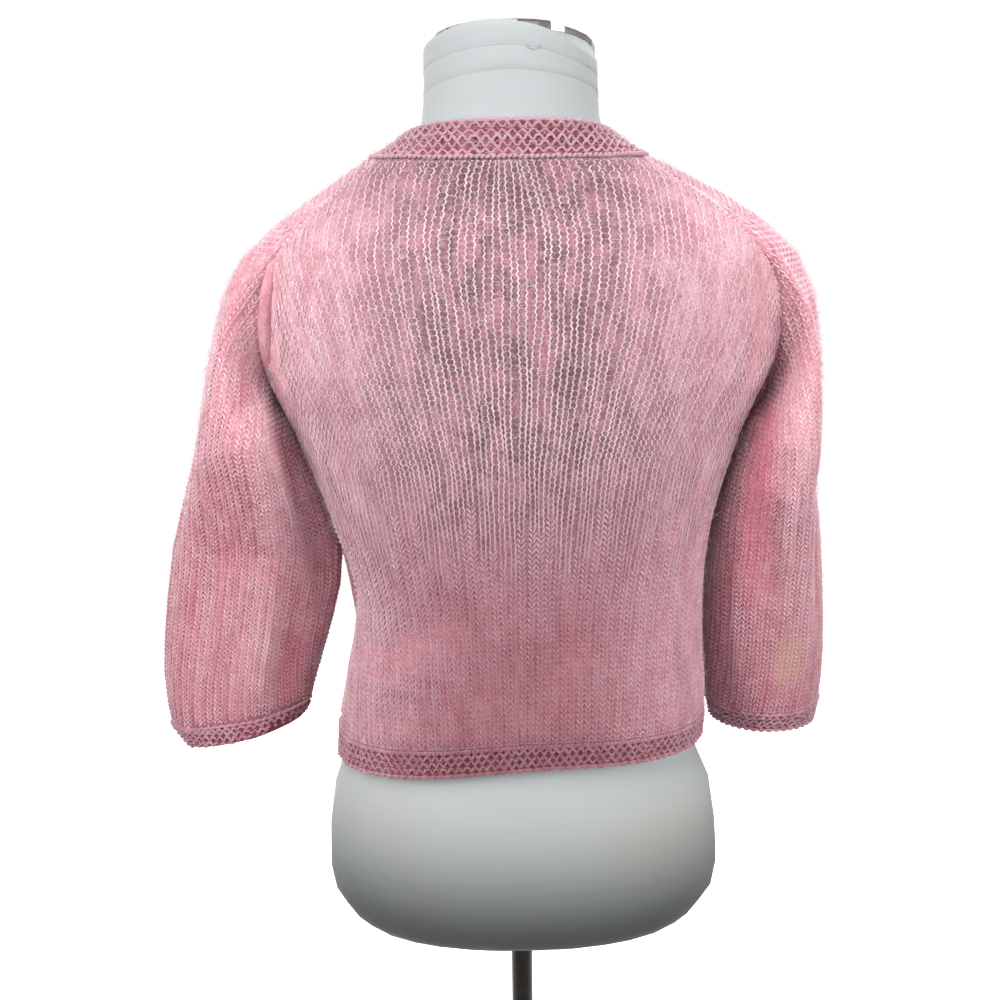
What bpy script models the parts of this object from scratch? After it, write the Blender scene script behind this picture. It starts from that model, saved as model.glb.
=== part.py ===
"""Short mohair cardigan with three-quarter sleeves, worn by a limbless dress form on a stand.

The garment is closed at the front, and its back faces -Y. The origin is under the middle of the base.
Tables are in millimetres and degrees, everything after them in metres. An angle goes round the upright
axis from +X, so 90 is the centre front, 180 the wearer's left side and 270 the centre back.
"""
import math

import bmesh
import bpy
import numpy as np
from mathutils import Vector

MM = 0.001
NAME = "cardigan_on_dress_form"

# Driving dimensions
CLOTH = 2.2 * MM            # thickness of the fluffy knitted wall
SEAM_GAP = 0.3 * MM         # between two pieces where they are sewn together
LAP_HALF = 12.0 * MM        # half the width of a front band
LAP_RISE = 2.6 * MM         # the upper front band lies this much over the lower one
RIDGE = 0.9 * MM            # height of a garter stitch ridge
HEM_LINE = 882.0            # lower edge of the hem, in mm
HEM_SEAM = 902.0            # hem band and panels meet here
UNDERARM = 1190.0
SHOULDER_TIP = 1327.0
NECK_LINE = 1374.0
FRONT_NECK = 1308.0         # lowest point of the round neckline
NECK_HALF_WIDTH = 105.0     # of the neckline, seen from above
NECKBAND_WIDTH = 29.0 * MM
SEAM_SET_BACK = 17.0        # the shoulder seam lies this many degrees behind the shoulder's ridge
ROUNDNESS = 2.3             # exponent of the body's rings, 2 would be an ellipse
PANEL_COLUMNS = 9           # of a front and of each half of the back
HEM_RIDGES = 4
NECK_RIDGES = 4
CUFF_RIDGES = 3
BUTTON_RADIUS = 7.0 * MM
BUTTON_THICKNESS = 3.6 * MM
BUTTON_EDGE = 1.4 * MM      # radius of its rounded edge
BUTTON_HEIGHTS = (902.0, 1002.0, 1102.0, 1202.0, 1298.0)
BASE_RADIUS = 165.0 * MM
BASE_HEIGHT = 14.0 * MM
BASE_EDGE = 8.0 * MM
POLE_RADIUS = 9.5 * MM
COLLAR_RADIUS = 17.0 * MM
COLLAR_HEIGHT = 42.0 * MM
COLLAR_EDGE = 2.0 * MM
FLANGE_RADIUS = 30.0 * MM
FLANGE_THICKNESS = 8.0 * MM
FLANGE_EDGE = 3.0 * MM
FORM_COLUMNS = 36

# Rings of the cardigan's body: height, half widths on the wearer's left and right, depths behind and before the
# axis, how far the ring falls behind and rises before it, and how far it rises at the right side
BODY_COLUMNS = ("height", "left", "right", "back", "front", "rise", "roll")
BODY_RINGS = (
    (882, 156, 157, 109, 104, 12, 8),
    (902, 155, 159, 108, 104, 12, 6),
    (927, 149, 159, 105, 104, 7, 3),
    (955, 143, 157, 102, 104, 3, 0),
    (990, 136, 156, 100, 106, 0, 0),
    (1012, 134, 156, 100, 108, 0, 0),
    (1030, 136, 157, 100, 110, 0, 0),
    (1050, 143, 158, 101, 113, 0, 0),
    (1075, 152, 162, 103, 118, 0, 0),
    (1095, 158, 167, 104, 122, 0, 0),
    (1120, 167, 174, 106, 127, 0, 0),
    (1141, 175, 181, 108, 129, 0, 0),
    (1163, 184, 189, 109, 128, 0, 0),
    (1186, 196, 200, 111, 126, 0, 0),
    (1210, 206, 212, 112, 121, 0, 0),
    (1235, 211, 220, 112, 115, 0, 0),
    (1262, 213, 224, 110, 108, 0, 0),
    (1290, 212, 223, 104, 99, 0, 0),
    (1311, 202, 213, 96, 90, 0, 0),
    (1330, 180, 189, 87, 81, 0, 0),
    (1343, 160, 167, 81, 75, 0, 0),
    (1358, 137, 138, 76, 70, 0, 0),
    (1374, 112, 106, 70, 66, 0, 0),
)
PANEL_HEIGHTS = (902, 928, 955, 985, 1015, 1045, 1075, 1105, 1135, 1163, 1190)
ARMHOLE_HEIGHTS = (1190, 1206, 1222, 1240, 1258, 1276, 1292, 1308, 1315, 1321, 1324, 1327)
SHOULDER_HEIGHTS = (1327, 1341, 1357, 1374)

# Where the armhole lies at each height, in degrees behind the side of the ring
ARMHOLE_COLUMNS = ("height", "back", "front")
ARMHOLE_EDGE = (
    (1190, 0, 0),
    (1206, 4.5, -6.5),
    (1222, 8, -10.5),
    (1240, 10.5, -13),
    (1258, 12.2, -14),
    (1276, 13.5, -14),
    (1292, 15, -13),
    (1308, 16.5, -9),
    (1315, 17, -5),
    (1321, 17, 0),
    (1324, 17, 9),
    (1327, 17, 17),
)

# Soft folds of the body: angle, middle height, half width in degrees, half height in mm, depth in mm
BODY_FOLDS = (
    (252, 985, 11, 60, -3.0),
    (240, 940, 8, 45, 2.0),
    (291, 1000, 10, 75, -2.5),
    (304, 945, 8, 45, 2.0),
    (214, 1085, 12, 80, 4.0),
    (326, 1085, 12, 80, 3.0),
    (62, 1010, 12, 70, -3.0),
    (118, 1000, 12, 75, -3.0),
)

# Rings of a sleeve: height of the middle, distances of the outer and inner edge from the axis, middle and half
# depth towards the front, and how much lower the outer edge hangs than the inner one
SLEEVE_COLUMNS = ("height", "outer", "inner", "middle", "depth", "tilt")
SLEEVE_LEFT = (
    (1150, 267, 187, 8, 73, 22),
    (1102, 281, 168, 13, 58, 10),
    (1050, 297, 149, 18, 40, 6),
    (1000, 306, 157, 20, 36, 10),
    (964, 311, 167, 22, 36, 16),
    (930, 313, 177, 23, 37, 22),
    (899, 308, 186, 24, 39, 24),
    (883, 298, 191, 24, 41, 26),
)
SLEEVE_RIGHT = (
    (1150, 251, 191, 2, 70, 22),
    (1108, 251, 178, 10, 72, 10),
    (1070, 259, 169, 22, 68, 4),
    (1015, 265, 164, 30, 61, 0),
    (968, 269, 165, 35, 57, 0),
    (933, 270, 167, 38, 55, 0),
    (900, 268, 170, 40, 52, 0),
    (884, 265, 174, 41, 49, 0),
)
CAP_RINGS = 4
CAP_PASSES = 3
CAP_LEAD = 14.0                         # how far the cloth runs outwards from the armhole at the underarm, in mm
SLEEVE_CROWN = {-1: 190.0, 1: 235.0}    # and how much further it does at the shoulder, on the left and right
CAP_DROP = (1.6, -1.75, 0.7)            # slope there: at the underarm, change to the shoulder and its exponent
CAP_ARRIVAL = (0.6, 2.4)                # pull of the sleeve's tube on the cap, at the underarm and added above
CAP_FREE = 0.35                         # this share of the armhole's height is left as it falls
SLEEVE_STEPS = (1.0, 1.9, 2.8, 3.7, 4.6, 5.3, 6.0)

# Long folds of the sleeves: angle at the top and at the cuff from the outer edge through the front, upper and
# lower end, half width in degrees, depth
FOLDS_LEFT = (
    (264, 253, 1260, 860, 22, 9.0),
    (212, 218, 1175, 985, 24, -11.0),
    (300, 296, 1150, 930, 18, -5.0),
    (95, 110, 1180, 900, 26, -7.0),
)
FOLDS_RIGHT = (
    (303, 300, 1270, 880, 20, 6.0),
    (268, 274, 1240, 900, 20, -6.0),
    (226, 240, 1150, 920, 22, 5.0),
    (80, 96, 1180, 920, 26, -6.0),
)

# How far the neckband leans inwards: at its middle, and added towards the sides
NECK_LEAN = {"back": (0.26, 0.62), "front": (0.42, 0.46)}

# Rings of the dress form, with its slanted neck: height, half widths, depths, rise at the back
FORM_COLUMN_NAMES = ("height", "left", "right", "back", "front", "slant")
FORM_RINGS = (
    (712, 108, 112, 62, 58, 0),
    (715, 129, 133, 80, 75, 0),
    (722, 146, 150, 91, 86, 0),
    (733, 157, 161, 99, 93, 0),
    (749, 166, 171, 105, 99, 0),
    (772, 170, 175, 108, 101, 0),
    (800, 169, 173, 109, 101, 0),
    (840, 163, 167, 107, 100, 0),
    (875, 151, 152, 104, 99, 0),
    (900, 145, 147, 101, 96, 0),
    (940, 132, 136, 92, 92, 0),
    (980, 124, 128, 84, 89, 0),
    (1020, 120, 123, 80, 90, 0),
    (1060, 123, 125, 83, 98, 0),
    (1100, 131, 132, 91, 113, 0),
    (1140, 140, 141, 99, 121, 0),
    (1180, 148, 149, 105, 119, 0),
    (1220, 155, 157, 107, 112, 0),
    (1260, 163, 165, 104, 101, 0),
    (1290, 167, 170, 98, 90, 0),
    (1312, 166, 171, 89, 80, 0),
    (1328, 158, 164, 82, 73, 0),
    (1342, 148, 153, 76, 66, 0),
    (1357, 131, 130, 70, 59, 0),
    (1369, 109, 104, 65, 55, 0),
    (1378, 90, 86, 62, 54, 0),
    (1388, 77, 75, 60, 56, 2),
    (1402, 72, 70, 58, 60, 6),
    (1425, 69, 68, 57, 63, 14),
    (1449, 68, 66, 57, 64, 21),
)

# The metal cap of the neck: scale of the neck's top ring, and height above it in mm
CAP_PROFILE = ((1.0, 0.3), (1.0, 5.0), (0.97, 7.5), (0.9, 9.5), (0.6, 12.0), (0.25, 13.0))


def column_values(table, names, height):
    """Smooth values of a table's columns at a height, without overshoot between its rows."""
    rows = np.array(table, dtype=float)
    knots = rows[:, 0]
    at = float(np.clip(height, knots[0], knots[-1]))
    index = int(np.clip(np.searchsorted(knots, at) - 1, 0, len(knots) - 2))
    spans = np.diff(knots)[:, None]
    slopes = np.diff(rows, axis=0) / spans
    before = slopes[max(index - 1, 0)]
    here = slopes[index]
    after = slopes[min(index + 1, len(slopes) - 1)]
    start = np.where(before * here > 0, 2 * before * here / np.where(before + here == 0, 1, before + here), 0)
    end = np.where(here * after > 0, 2 * here * after / np.where(here + after == 0, 1, here + after), 0)
    span = spans[index, 0]
    t = (at - knots[index]) / span
    low = (1 + 2 * t) * (1 - t) ** 2 * rows[index] + t * (1 - t) ** 2 * span * start
    high = t * t * (3 - 2 * t) * rows[index + 1] - t * t * (1 - t) * span * end
    return dict(zip(names, low + high))


def bump(distance):
    """A soft hill of height one that ends at a distance of one."""
    return math.cos(min(abs(distance), 1.0) * math.pi / 2) ** 2


def ring_radius(angle, left, right, back, front):
    """Distance of a rounded ring from the axis."""
    across = math.cos(angle) / (right if math.cos(angle) > 0 else left)
    along = math.sin(angle) / (front if math.sin(angle) > 0 else back)
    return (abs(across) ** ROUNDNESS + abs(along) ** ROUNDNESS) ** (-1 / ROUNDNESS)


def body_point(degrees, height, proud=0.0):
    """A point of the cardigan's body, in metres; proud moves it away from the axis."""
    ring = column_values(BODY_RINGS, BODY_COLUMNS, height)
    angle = math.radians(degrees)
    radius = ring_radius(angle, ring["left"], ring["right"], ring["back"], ring["front"])
    for middle, level, half_angle, half_height, depth in BODY_FOLDS:
        turn = (degrees - middle + 180) % 360 - 180
        radius += depth * bump(turn / half_angle) * bump((height - level) / half_height)
    radius = radius * MM + proud
    lift = ring["rise"] * math.sin(angle) ** 2 + ring["roll"] * math.cos(angle)
    return np.array([radius * math.cos(angle), radius * math.sin(angle), (height + lift) * MM])


def body_normal(degrees, height):
    """Direction out of the cardigan's body."""
    around = body_point(degrees + 0.5, height) - body_point(degrees - 0.5, height)
    upper = min(height + 1, NECK_LINE)
    upwards = body_point(degrees, upper) - body_point(degrees, upper - 2)
    return unit(np.cross(around, upwards))


def unit(vector):
    """The vector at a length of one."""
    return vector / max(np.linalg.norm(vector), 1e-12)


def side_angle(side, behind):
    """Angle of a point that lies some degrees behind the side seam; side is -1 for the wearer's left."""
    return 180 + behind if side < 0 else 360 - behind


def front_edge_angle(side, height):
    """Angle of the front panel's edge at the front band, or of the round neckline above it."""
    ring = column_values(BODY_RINGS, BODY_COLUMNS, height)
    if height <= FRONT_NECK:
        offset = math.degrees(math.asin(LAP_HALF / MM / ring["front"]))
        return 90 - side * offset
    neck_depth = column_values(BODY_RINGS, BODY_COLUMNS, FRONT_NECK)["front"]
    low, high = 0.0, 90.0
    for _ in range(40):
        turn = (low + high) / 2
        x, y, _ = body_point(90 - side * turn, height) / MM
        inside = abs(x / NECK_HALF_WIDTH) ** ROUNDNESS + abs(y / neck_depth) ** ROUNDNESS < 1
        low, high = (turn, high) if inside else (low, turn)
    return 90 - side * low


def armhole_angle(side, height, face):
    """Angle of the armhole edge of the back or of a front."""
    behind = column_values(ARMHOLE_EDGE, ARMHOLE_COLUMNS, height)[face]
    return side_angle(side, behind)


def outer_angle(side, height, face):
    """Angle of a panel's outer edge: side seam, armhole, then shoulder seam."""
    if height <= UNDERARM:
        return side_angle(side, 0)
    if height <= SHOULDER_TIP:
        return armhole_angle(side, height, face)
    return side_angle(side, SEAM_SET_BACK)


def panel_rows():
    """Heights of the panels' rows from the hem band to the neckline."""
    return PANEL_HEIGHTS + ARMHOLE_HEIGHTS[1:] + SHOULDER_HEIGHTS[1:]


def grid_normals(points, closed):
    """Directions out of a grid of points whose rows run round and whose columns run down."""
    if closed:
        around = np.roll(points, -1, axis=1) - np.roll(points, 1, axis=1)
    else:
        around = np.gradient(points, axis=1)
    along = np.gradient(points, axis=0)
    cross = np.cross(around, along)
    return cross / np.maximum(np.linalg.norm(cross, axis=2, keepdims=True), 1e-12)


def draw_back(points, closed, first_row=True, last_row=True):
    """Moves the sewn edges of a grid back by half the seam's gap."""
    moved = points.copy()
    lines = []
    if first_row:
        lines.append((points[0], points[1], moved[0], closed))
    if last_row:
        lines.append((points[-1], points[-2], moved[-1], closed))
    if not closed:
        lines.append((points[:, 0], points[:, 1], moved[:, 0], False))
        lines.append((points[:, -1], points[:, -2], moved[:, -1], False))
    for edge, inner, target, wraps in lines:
        along = np.roll(edge, -1, axis=0) - np.roll(edge, 1, axis=0) if wraps else np.gradient(edge, axis=0)
        for index, direction in enumerate(along):
            direction = unit(direction)
            inward = inner[index] - edge[index]
            inward = unit(inward - direction * np.dot(inward, direction))
            target[index] += inward * SEAM_GAP / 2
    return moved


def mitre(first, second):
    """Wall direction at a seam between two surfaces that meet at an angle."""
    middle = unit(first + second)
    return middle * min(1 / max(np.dot(middle, first), 0.1), 1.3)


def wall(name, points, normals, closed=False, raised=None, thickness=CLOTH):
    """A closed cloth wall around a grid of points; raised lifts its outer points."""
    rows, columns = points.shape[:2]
    lift = np.zeros((rows, columns)) if raised is None else raised
    outer = points + normals * (thickness / 2 + lift)[..., None]
    inner = points - normals * (thickness / 2)
    mesh = bmesh.new()
    skins = [[[mesh.verts.new(Vector(point)) for point in row] for row in skin] for skin in (outer, inner)]
    last = columns if closed else columns - 1
    for row in range(rows - 1):
        for column in range(last):
            after = (column + 1) % columns
            ring = [(row, column), (row, after), (row + 1, after), (row + 1, column)]
            straight, crossed = (np.linalg.norm(points[ring[k]] - points[ring[k + 2]]) for k in (0, 1))
            turn = 0 if straight < crossed else 1
            ring = ring[turn:] + ring[:turn]
            for corners in (ring[:3], ring[2:] + ring[:1]):
                mesh.faces.new([skins[0][r][c] for r, c in corners])
                mesh.faces.new([skins[1][r][c] for r, c in reversed(corners)])
    for row in (0, rows - 1):
        for column in range(last):
            after = (column + 1) % columns
            rim = [skins[0][row][column], skins[1][row][column], skins[1][row][after], skins[0][row][after]]
            mesh.faces.new(rim if row == 0 else rim[::-1])
    if not closed:
        for column in (0, columns - 1):
            for row in range(rows - 1):
                rim = [skins[0][row][column], skins[0][row + 1][column],
                       skins[1][row + 1][column], skins[1][row][column]]
                mesh.faces.new(rim if column == 0 else rim[::-1])
    bmesh.ops.recalc_face_normals(mesh, faces=mesh.faces)
    data = bpy.data.meshes.new(name)
    mesh.to_mesh(data)
    mesh.free()
    return place(name, data)


def place(name, data):
    """Puts a mesh into the collection under its name, shaded smooth."""
    data.shade_smooth()
    data.set_sharp_from_angle(angle=math.radians(50))
    piece = bpy.data.objects.new(name, data)
    PARTS.objects.link(piece)
    return piece


def material(name, color, roughness, metallic=0.0):
    """A plain material with a colour, a roughness and a metallic value."""
    made = bpy.data.materials.new(name)
    made.use_nodes = True
    shader = made.node_tree.nodes["Principled BSDF"]
    shader.inputs["Base Color"].default_value = (*color, 1.0)
    shader.inputs["Roughness"].default_value = roughness
    shader.inputs["Metallic"].default_value = metallic
    made.diffuse_color = (*color, 1.0)
    return made


def paint(piece, made):
    """Gives a piece its own copy of a material."""
    own = made.copy()
    own.name = made.name + "_" + piece.name
    piece.data.materials.clear()
    piece.data.materials.append(own)


def armhole_loop(side):
    """Points and outward directions round an armhole: up the back from the underarm, over and down the front."""
    rising = [(armhole_angle(side, height, "back"), height) for height in ARMHOLE_HEIGHTS]
    falling = [(armhole_angle(side, height, "front"), height) for height in ARMHOLE_HEIGHTS[-2:0:-1]]
    spots = rising + falling
    points = np.array([body_point(*spot) for spot in spots])
    normals = np.array([body_normal(*spot) for spot in spots])
    return points, normals


def sleeve_ring(side, table, folds, level, turns):
    """One ring of a sleeve; level counts the table's rows, turns are angles from its outer edge."""
    rows = np.array(table, dtype=float)
    low = int(min(level, len(rows) - 2))
    share = level - low
    here = dict(zip(SLEEVE_COLUMNS, rows[low] * (1 - share) + rows[low + 1] * share))
    height = here["height"]
    centre = (here["outer"] + here["inner"]) / 2
    half_width = (here["outer"] - here["inner"]) / 2
    ring = []
    for turn in turns:
        angle = math.radians(turn)
        swell = 0.0
        for start, end, upper, lower, half_angle, fold_depth in folds:
            travel = (upper - height) / (upper - lower)
            crest = start + (end - start) * min(max(travel, 0), 1)
            away = (turn - crest + 180) % 360 - 180
            swell += fold_depth * bump(away / half_angle) * bump(2 * travel - 1) ** 0.5
        across = (half_width + swell) * math.cos(angle)
        along = (here["depth"] + swell) * math.sin(angle)
        fall = here["tilt"] / 2 * math.cos(angle)
        ring.append([side * (centre + across), here["middle"] + along, height - fall])
    return np.array(ring) * MM


def sleeve_points(side, table, folds):
    """Rings of a sleeve from its armhole to the cuff's lower edge, as one grid."""
    loop, _ = armhole_loop(side)
    steps = np.linalg.norm(np.roll(loop, -1, axis=0) - loop, axis=1)
    walked = np.concatenate([[0], np.cumsum(steps)[:-1]]) / steps.sum()
    turns = [(180 + 360 * share) % 360 for share in walked]
    below = sleeve_ring(side, table, folds, 0.0, turns)
    next_below = sleeve_ring(side, table, folds, 0.5, turns)
    share = (loop[:, 2] / MM - UNDERARM) / (SHOULDER_TIP - UNDERARM)
    reach = (CAP_LEAD + SLEEVE_CROWN[side] * share) * MM
    drop = CAP_DROP[0] + CAP_DROP[1] * share ** CAP_DROP[2]
    leaving = np.stack([side * reach, np.zeros_like(reach), -reach * drop], axis=1)
    arriving = (next_below - below) * (CAP_ARRIVAL[0] + CAP_ARRIVAL[1] * share)[:, None]
    rings = [loop]
    for index in range(1, CAP_RINGS + 1):
        t = index / (CAP_RINGS + 1)
        rings.append((1 + 2 * t) * (1 - t) ** 2 * loop + t * (1 - t) ** 2 * leaving
                     + t * t * (3 - 2 * t) * below - t * t * (1 - t) * arriving)
    rings.append(below)
    rings += [sleeve_ring(side, table, folds, level, turns) for level in SLEEVE_STEPS]
    crown = np.clip(share / CAP_FREE - 1, 0, 1)[None, :, None]
    return even_out(np.array(rings), CAP_RINGS, CAP_PASSES, crown), turns


def even_out(rings, last, passes, strength):
    """Spreads the points of the rings after the first, up to a last one, evenly over the surface."""
    for _ in range(passes):
        middle = rings[1:last + 1]
        beside = np.roll(middle, 1, axis=1) + np.roll(middle, -1, axis=1)
        evened = (beside + rings[:last] + rings[2:last + 2]) / 4
        rings[1:last + 1] = middle + (evened - middle) * strength / 2
    return rings


def make_sleeve(side, name, table, folds):
    """A sleeve and its garter stitch cuff; returns the wall directions of the armhole seam."""
    points, turns = sleeve_points(side, table, folds)
    if side > 0:
        points = points[:, ::-1]
        turns = turns[::-1]
    normals = grid_normals(points, True)
    _, body_normals = armhole_loop(side)
    if side > 0:
        body_normals = body_normals[::-1]
    outward = np.array([side, 0, 0])
    if np.dot(normals[-1].T @ np.cos(np.radians(turns)), outward) < 0:
        normals = -normals
    for column in range(points.shape[1]):
        normals[0, column] = mitre(body_normals[column], normals[0, column])
    sleeve = wall("sleeve_" + name, draw_back(points, True), normals, True)
    seams = normals[0][::-1] if side > 0 else normals[0]
    cuff_ring = points[-1]
    cuff_end = sleeve_ring(side, table, folds, len(table) - 1.0, turns)
    cuff = make_ridged_band("cuff_" + name, cuff_ring, cuff_end, normals[-1], CUFF_RIDGES, True)
    return sleeve, cuff, seams


def make_ridged_band(name, start, end, normals, ridges, closed, own_normals=None, plain_columns=0):
    """A garter stitch band from a sewn edge to a free edge, with a raised ridge for every two rows.

    The last plain_columns of it stay flat, because they lie under something.
    """
    rows = 2 * ridges + 1
    shares = np.linspace(0, 1, rows)
    grid = np.array([start * (1 - share) + end * share for share in shares])
    directions = np.repeat(normals[None], rows, axis=0)
    if own_normals is not None:
        directions[1:] = own_normals[1:]
    raised = np.zeros(grid.shape[:2])
    raised[1::2, :grid.shape[1] - plain_columns] = RIDGE
    return wall(name, draw_back(grid, closed, last_row=False), directions, closed, raised)


def panel_grid(side, face, seams):
    """Points and wall directions of half the back or of one front, from its middle to its outer edge."""
    points, normals = [], []
    for height in panel_rows():
        inner = 270.0 if face == "back" else front_edge_angle(side, height)
        outer = outer_angle(side, height, face)
        shares = np.linspace(0, 1, PANEL_COLUMNS + 1)
        angles = inner + (outer - inner) * shares
        if face == "front" and side > 0:
            angles = inner + ((outer + 180) % 360 - 180 - inner) * shares
        points.append([body_point(angle, height) for angle in angles])
        normals.append([body_normal(angle, height) for angle in angles])
    points, normals = np.array(points), np.array(normals)
    first = len(PANEL_HEIGHTS) - 1
    loop = len(ARMHOLE_HEIGHTS)
    order = range(loop) if face == "back" else [0] + list(range(len(seams) - 1, loop - 2, -1))
    for step, index in enumerate(order):
        normals[first + step, -1] = seams[index]
    return points, normals


def whole_back(seams_left, seams_right):
    """Points and wall directions of the back, knitted in one from the hem band to the neckline."""
    left, left_normals = panel_grid(-1, "back", seams_left)
    right, right_normals = panel_grid(1, "back", seams_right)
    points = np.concatenate([left[:, ::-1], right[:, 1:]], axis=1)
    normals = np.concatenate([left_normals[:, ::-1], right_normals[:, 1:]], axis=1)
    return points, normals


def neck_direction(point):
    """How the neckband leaves the neckline: up behind, and towards the neck at the sides."""
    x, y = point[0], point[1]
    turn = math.atan2(y, x)
    middle, added = NECK_LEAN["back" if y < 0 else "front"]
    lean = middle + added * math.cos(turn) ** 4
    inward = -unit(np.array([x, y, 0]))
    return inward * lean + np.array([0, 0, math.sqrt(1 - lean * lean)])


def lap_offset(x, upper):
    """How far a front band stands off the body's surface, so that the two lie over each other."""
    tilt = LAP_RISE * (LAP_HALF - x) / (2 * LAP_HALF)
    return tilt if upper else tilt - LAP_RISE


def lap_point(x, height, upper):
    """A point of a front band."""
    front = column_values(BODY_RINGS, BODY_COLUMNS, height)["front"] * MM
    return body_point(math.degrees(math.acos(x / front)), height, lap_offset(x, upper))


def make_front_band(name, upper):
    """A straight front band from the hem to the neckline."""
    heights = (HEM_LINE,) + panel_rows()[:panel_rows().index(int(FRONT_NECK)) + 1]
    places = np.linspace(LAP_HALF, -LAP_HALF, 4)
    points = np.array([[lap_point(x, height, upper) for x in places] for height in heights])
    normals = np.array([[body_normal(90, height)] * len(places) for height in heights])
    return wall(name, draw_back(points, False), normals)


def make_neckband(back, fronts):
    """The garter stitch neckband, sewn round the neckline and lapped over itself at the front."""
    start_row = panel_rows().index(int(FRONT_NECK)) + 1
    path, upright = [], []
    for x in (-LAP_HALF, LAP_HALF):
        path.append(lap_point(x, FRONT_NECK, True))
        upright.append(body_normal(90, FRONT_NECK))
    for side in (1, -1):
        points, normals = fronts[side]
        edge = list(points[start_row:, 0]) + list(points[-1, 1:])
        facing = list(normals[start_row:, 0]) + list(normals[-1, 1:])
        if side > 0:
            path += edge
            upright += facing
            path += list(back[0][-1, ::-1][1:])
            upright += list(back[1][-1, ::-1][1:])
        else:
            path += edge[::-1][1:]
            upright += facing[::-1][1:]
    for x in (-LAP_HALF, LAP_HALF):
        path.append(lap_point(x, FRONT_NECK, False))
        upright.append(body_normal(90, FRONT_NECK))
    path, upright = np.array(path), np.array(upright)
    leaving = np.array([neck_direction(point) for point in path])
    grid = np.array([path + leaving * NECKBAND_WIDTH * share for share in np.linspace(0, 1, 2 * NECK_RIDGES + 1)])
    own = grid_normals(grid, False)
    if np.dot(own[0, len(path) // 2], upright[len(path) // 2]) < 0:
        own = -own
    seam = np.array([mitre(a, b) for a, b in zip(upright, own[0])])
    upper_edge = path + leaving * NECKBAND_WIDTH
    return make_ridged_band("neckband", path, upper_edge, seam, NECK_RIDGES, False, own, plain_columns=2)


def make_hem_band(back, fronts):
    """The garter stitch hem band, from one front band round the back to the other."""
    low, high, facing = [], [], []
    right, left = fronts[1][0][0], fronts[-1][0][0]
    path = list(right) + list(back[0][0, ::-1][1:]) + list(left[::-1][1:])
    for point in path:
        angle = math.degrees(math.atan2(point[1], point[0]))
        high.append(body_point(angle, HEM_SEAM))
        low.append(body_point(angle, HEM_LINE))
        facing.append(body_normal(angle, HEM_SEAM))
    return make_ridged_band("hem_band", np.array(high), np.array(low), np.array(facing), HEM_RIDGES, False)


def lathe(name, profile, steps):
    """A turned piece from a profile of radius and height, listed from the top down."""
    data = bpy.data.meshes.new(name)
    edges = [(index, index + 1) for index in range(len(profile) - 1)]
    data.from_pydata([(radius, 0, height) for radius, height in profile], edges, [])
    piece = bpy.data.objects.new(name, data)
    PARTS.objects.link(piece)
    screw = piece.modifiers.new("turn", "SCREW")
    screw.steps = steps
    screw.render_steps = steps
    screw.use_merge_vertices = True
    screw.merge_threshold = 0.00005
    screw.use_smooth_shade = True
    return piece


def rounded_profile(radius, top, bottom, edge):
    """Profile of a round plate whose edges are rounded."""
    profile = [(0.0, top)]
    for step in range(4):
        angle = math.pi / 2 * (1 - step / 3)
        profile.append((radius - edge + edge * math.cos(angle), top - edge + edge * math.sin(angle)))
    profile += [(radius, bottom), (0.0, bottom)]
    return profile


def make_button(index, height):
    """A plain round button on the upper front band."""
    half = BUTTON_THICKNESS / 2
    piece = lathe("button_%d" % index, rounded_profile(BUTTON_RADIUS, half, -half, BUTTON_EDGE), 16)
    seat = Vector(lap_point(0.0, height, True))
    across = lap_point(-BUTTON_RADIUS, height, True) - lap_point(BUTTON_RADIUS, height, True)
    upwards = lap_point(0.0, height + 5, True) - lap_point(0.0, height - 5, True)
    facing = -Vector(unit(np.cross(across, upwards)))
    facing = facing if facing.y > 0 else -facing
    piece.rotation_mode = "QUATERNION"
    piece.rotation_quaternion = facing.to_track_quat("Z", "Y")
    piece.location = seat + facing * (CLOTH / 2 + SEAM_GAP + half)
    return piece


def form_ring(height, scale=1.0, above=0.0):
    """A ring of the dress form; its neck slants up towards the back."""
    ring = column_values(FORM_RINGS, FORM_COLUMN_NAMES, height)
    points = []
    for index in range(FORM_COLUMNS):
        angle = 2 * math.pi * index / FORM_COLUMNS
        radius = ring_radius(angle, ring["left"], ring["right"], ring["back"], ring["front"]) * scale
        y = radius * math.sin(angle)
        depth = (ring["back"] + ring["front"]) / 2
        z = height - ring["slant"] * y / depth + above
        points.append(Vector((radius * math.cos(angle), y, z)) * MM)
    return points


def loft(name, rings):
    """A closed solid through rings of equal length, listed from the bottom up."""
    mesh = bmesh.new()
    layers = [[mesh.verts.new(point) for point in ring] for ring in rings]
    mesh.faces.new(layers[0][::-1])
    mesh.faces.new(layers[-1])
    for lower, upper in zip(layers, layers[1:]):
        for index in range(len(lower)):
            after = (index + 1) % len(lower)
            mesh.faces.new([lower[index], lower[after], upper[after], upper[index]])
    bmesh.ops.recalc_face_normals(mesh, faces=mesh.faces)
    data = bpy.data.meshes.new(name)
    mesh.to_mesh(data)
    mesh.free()
    return place(name, data)


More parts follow.
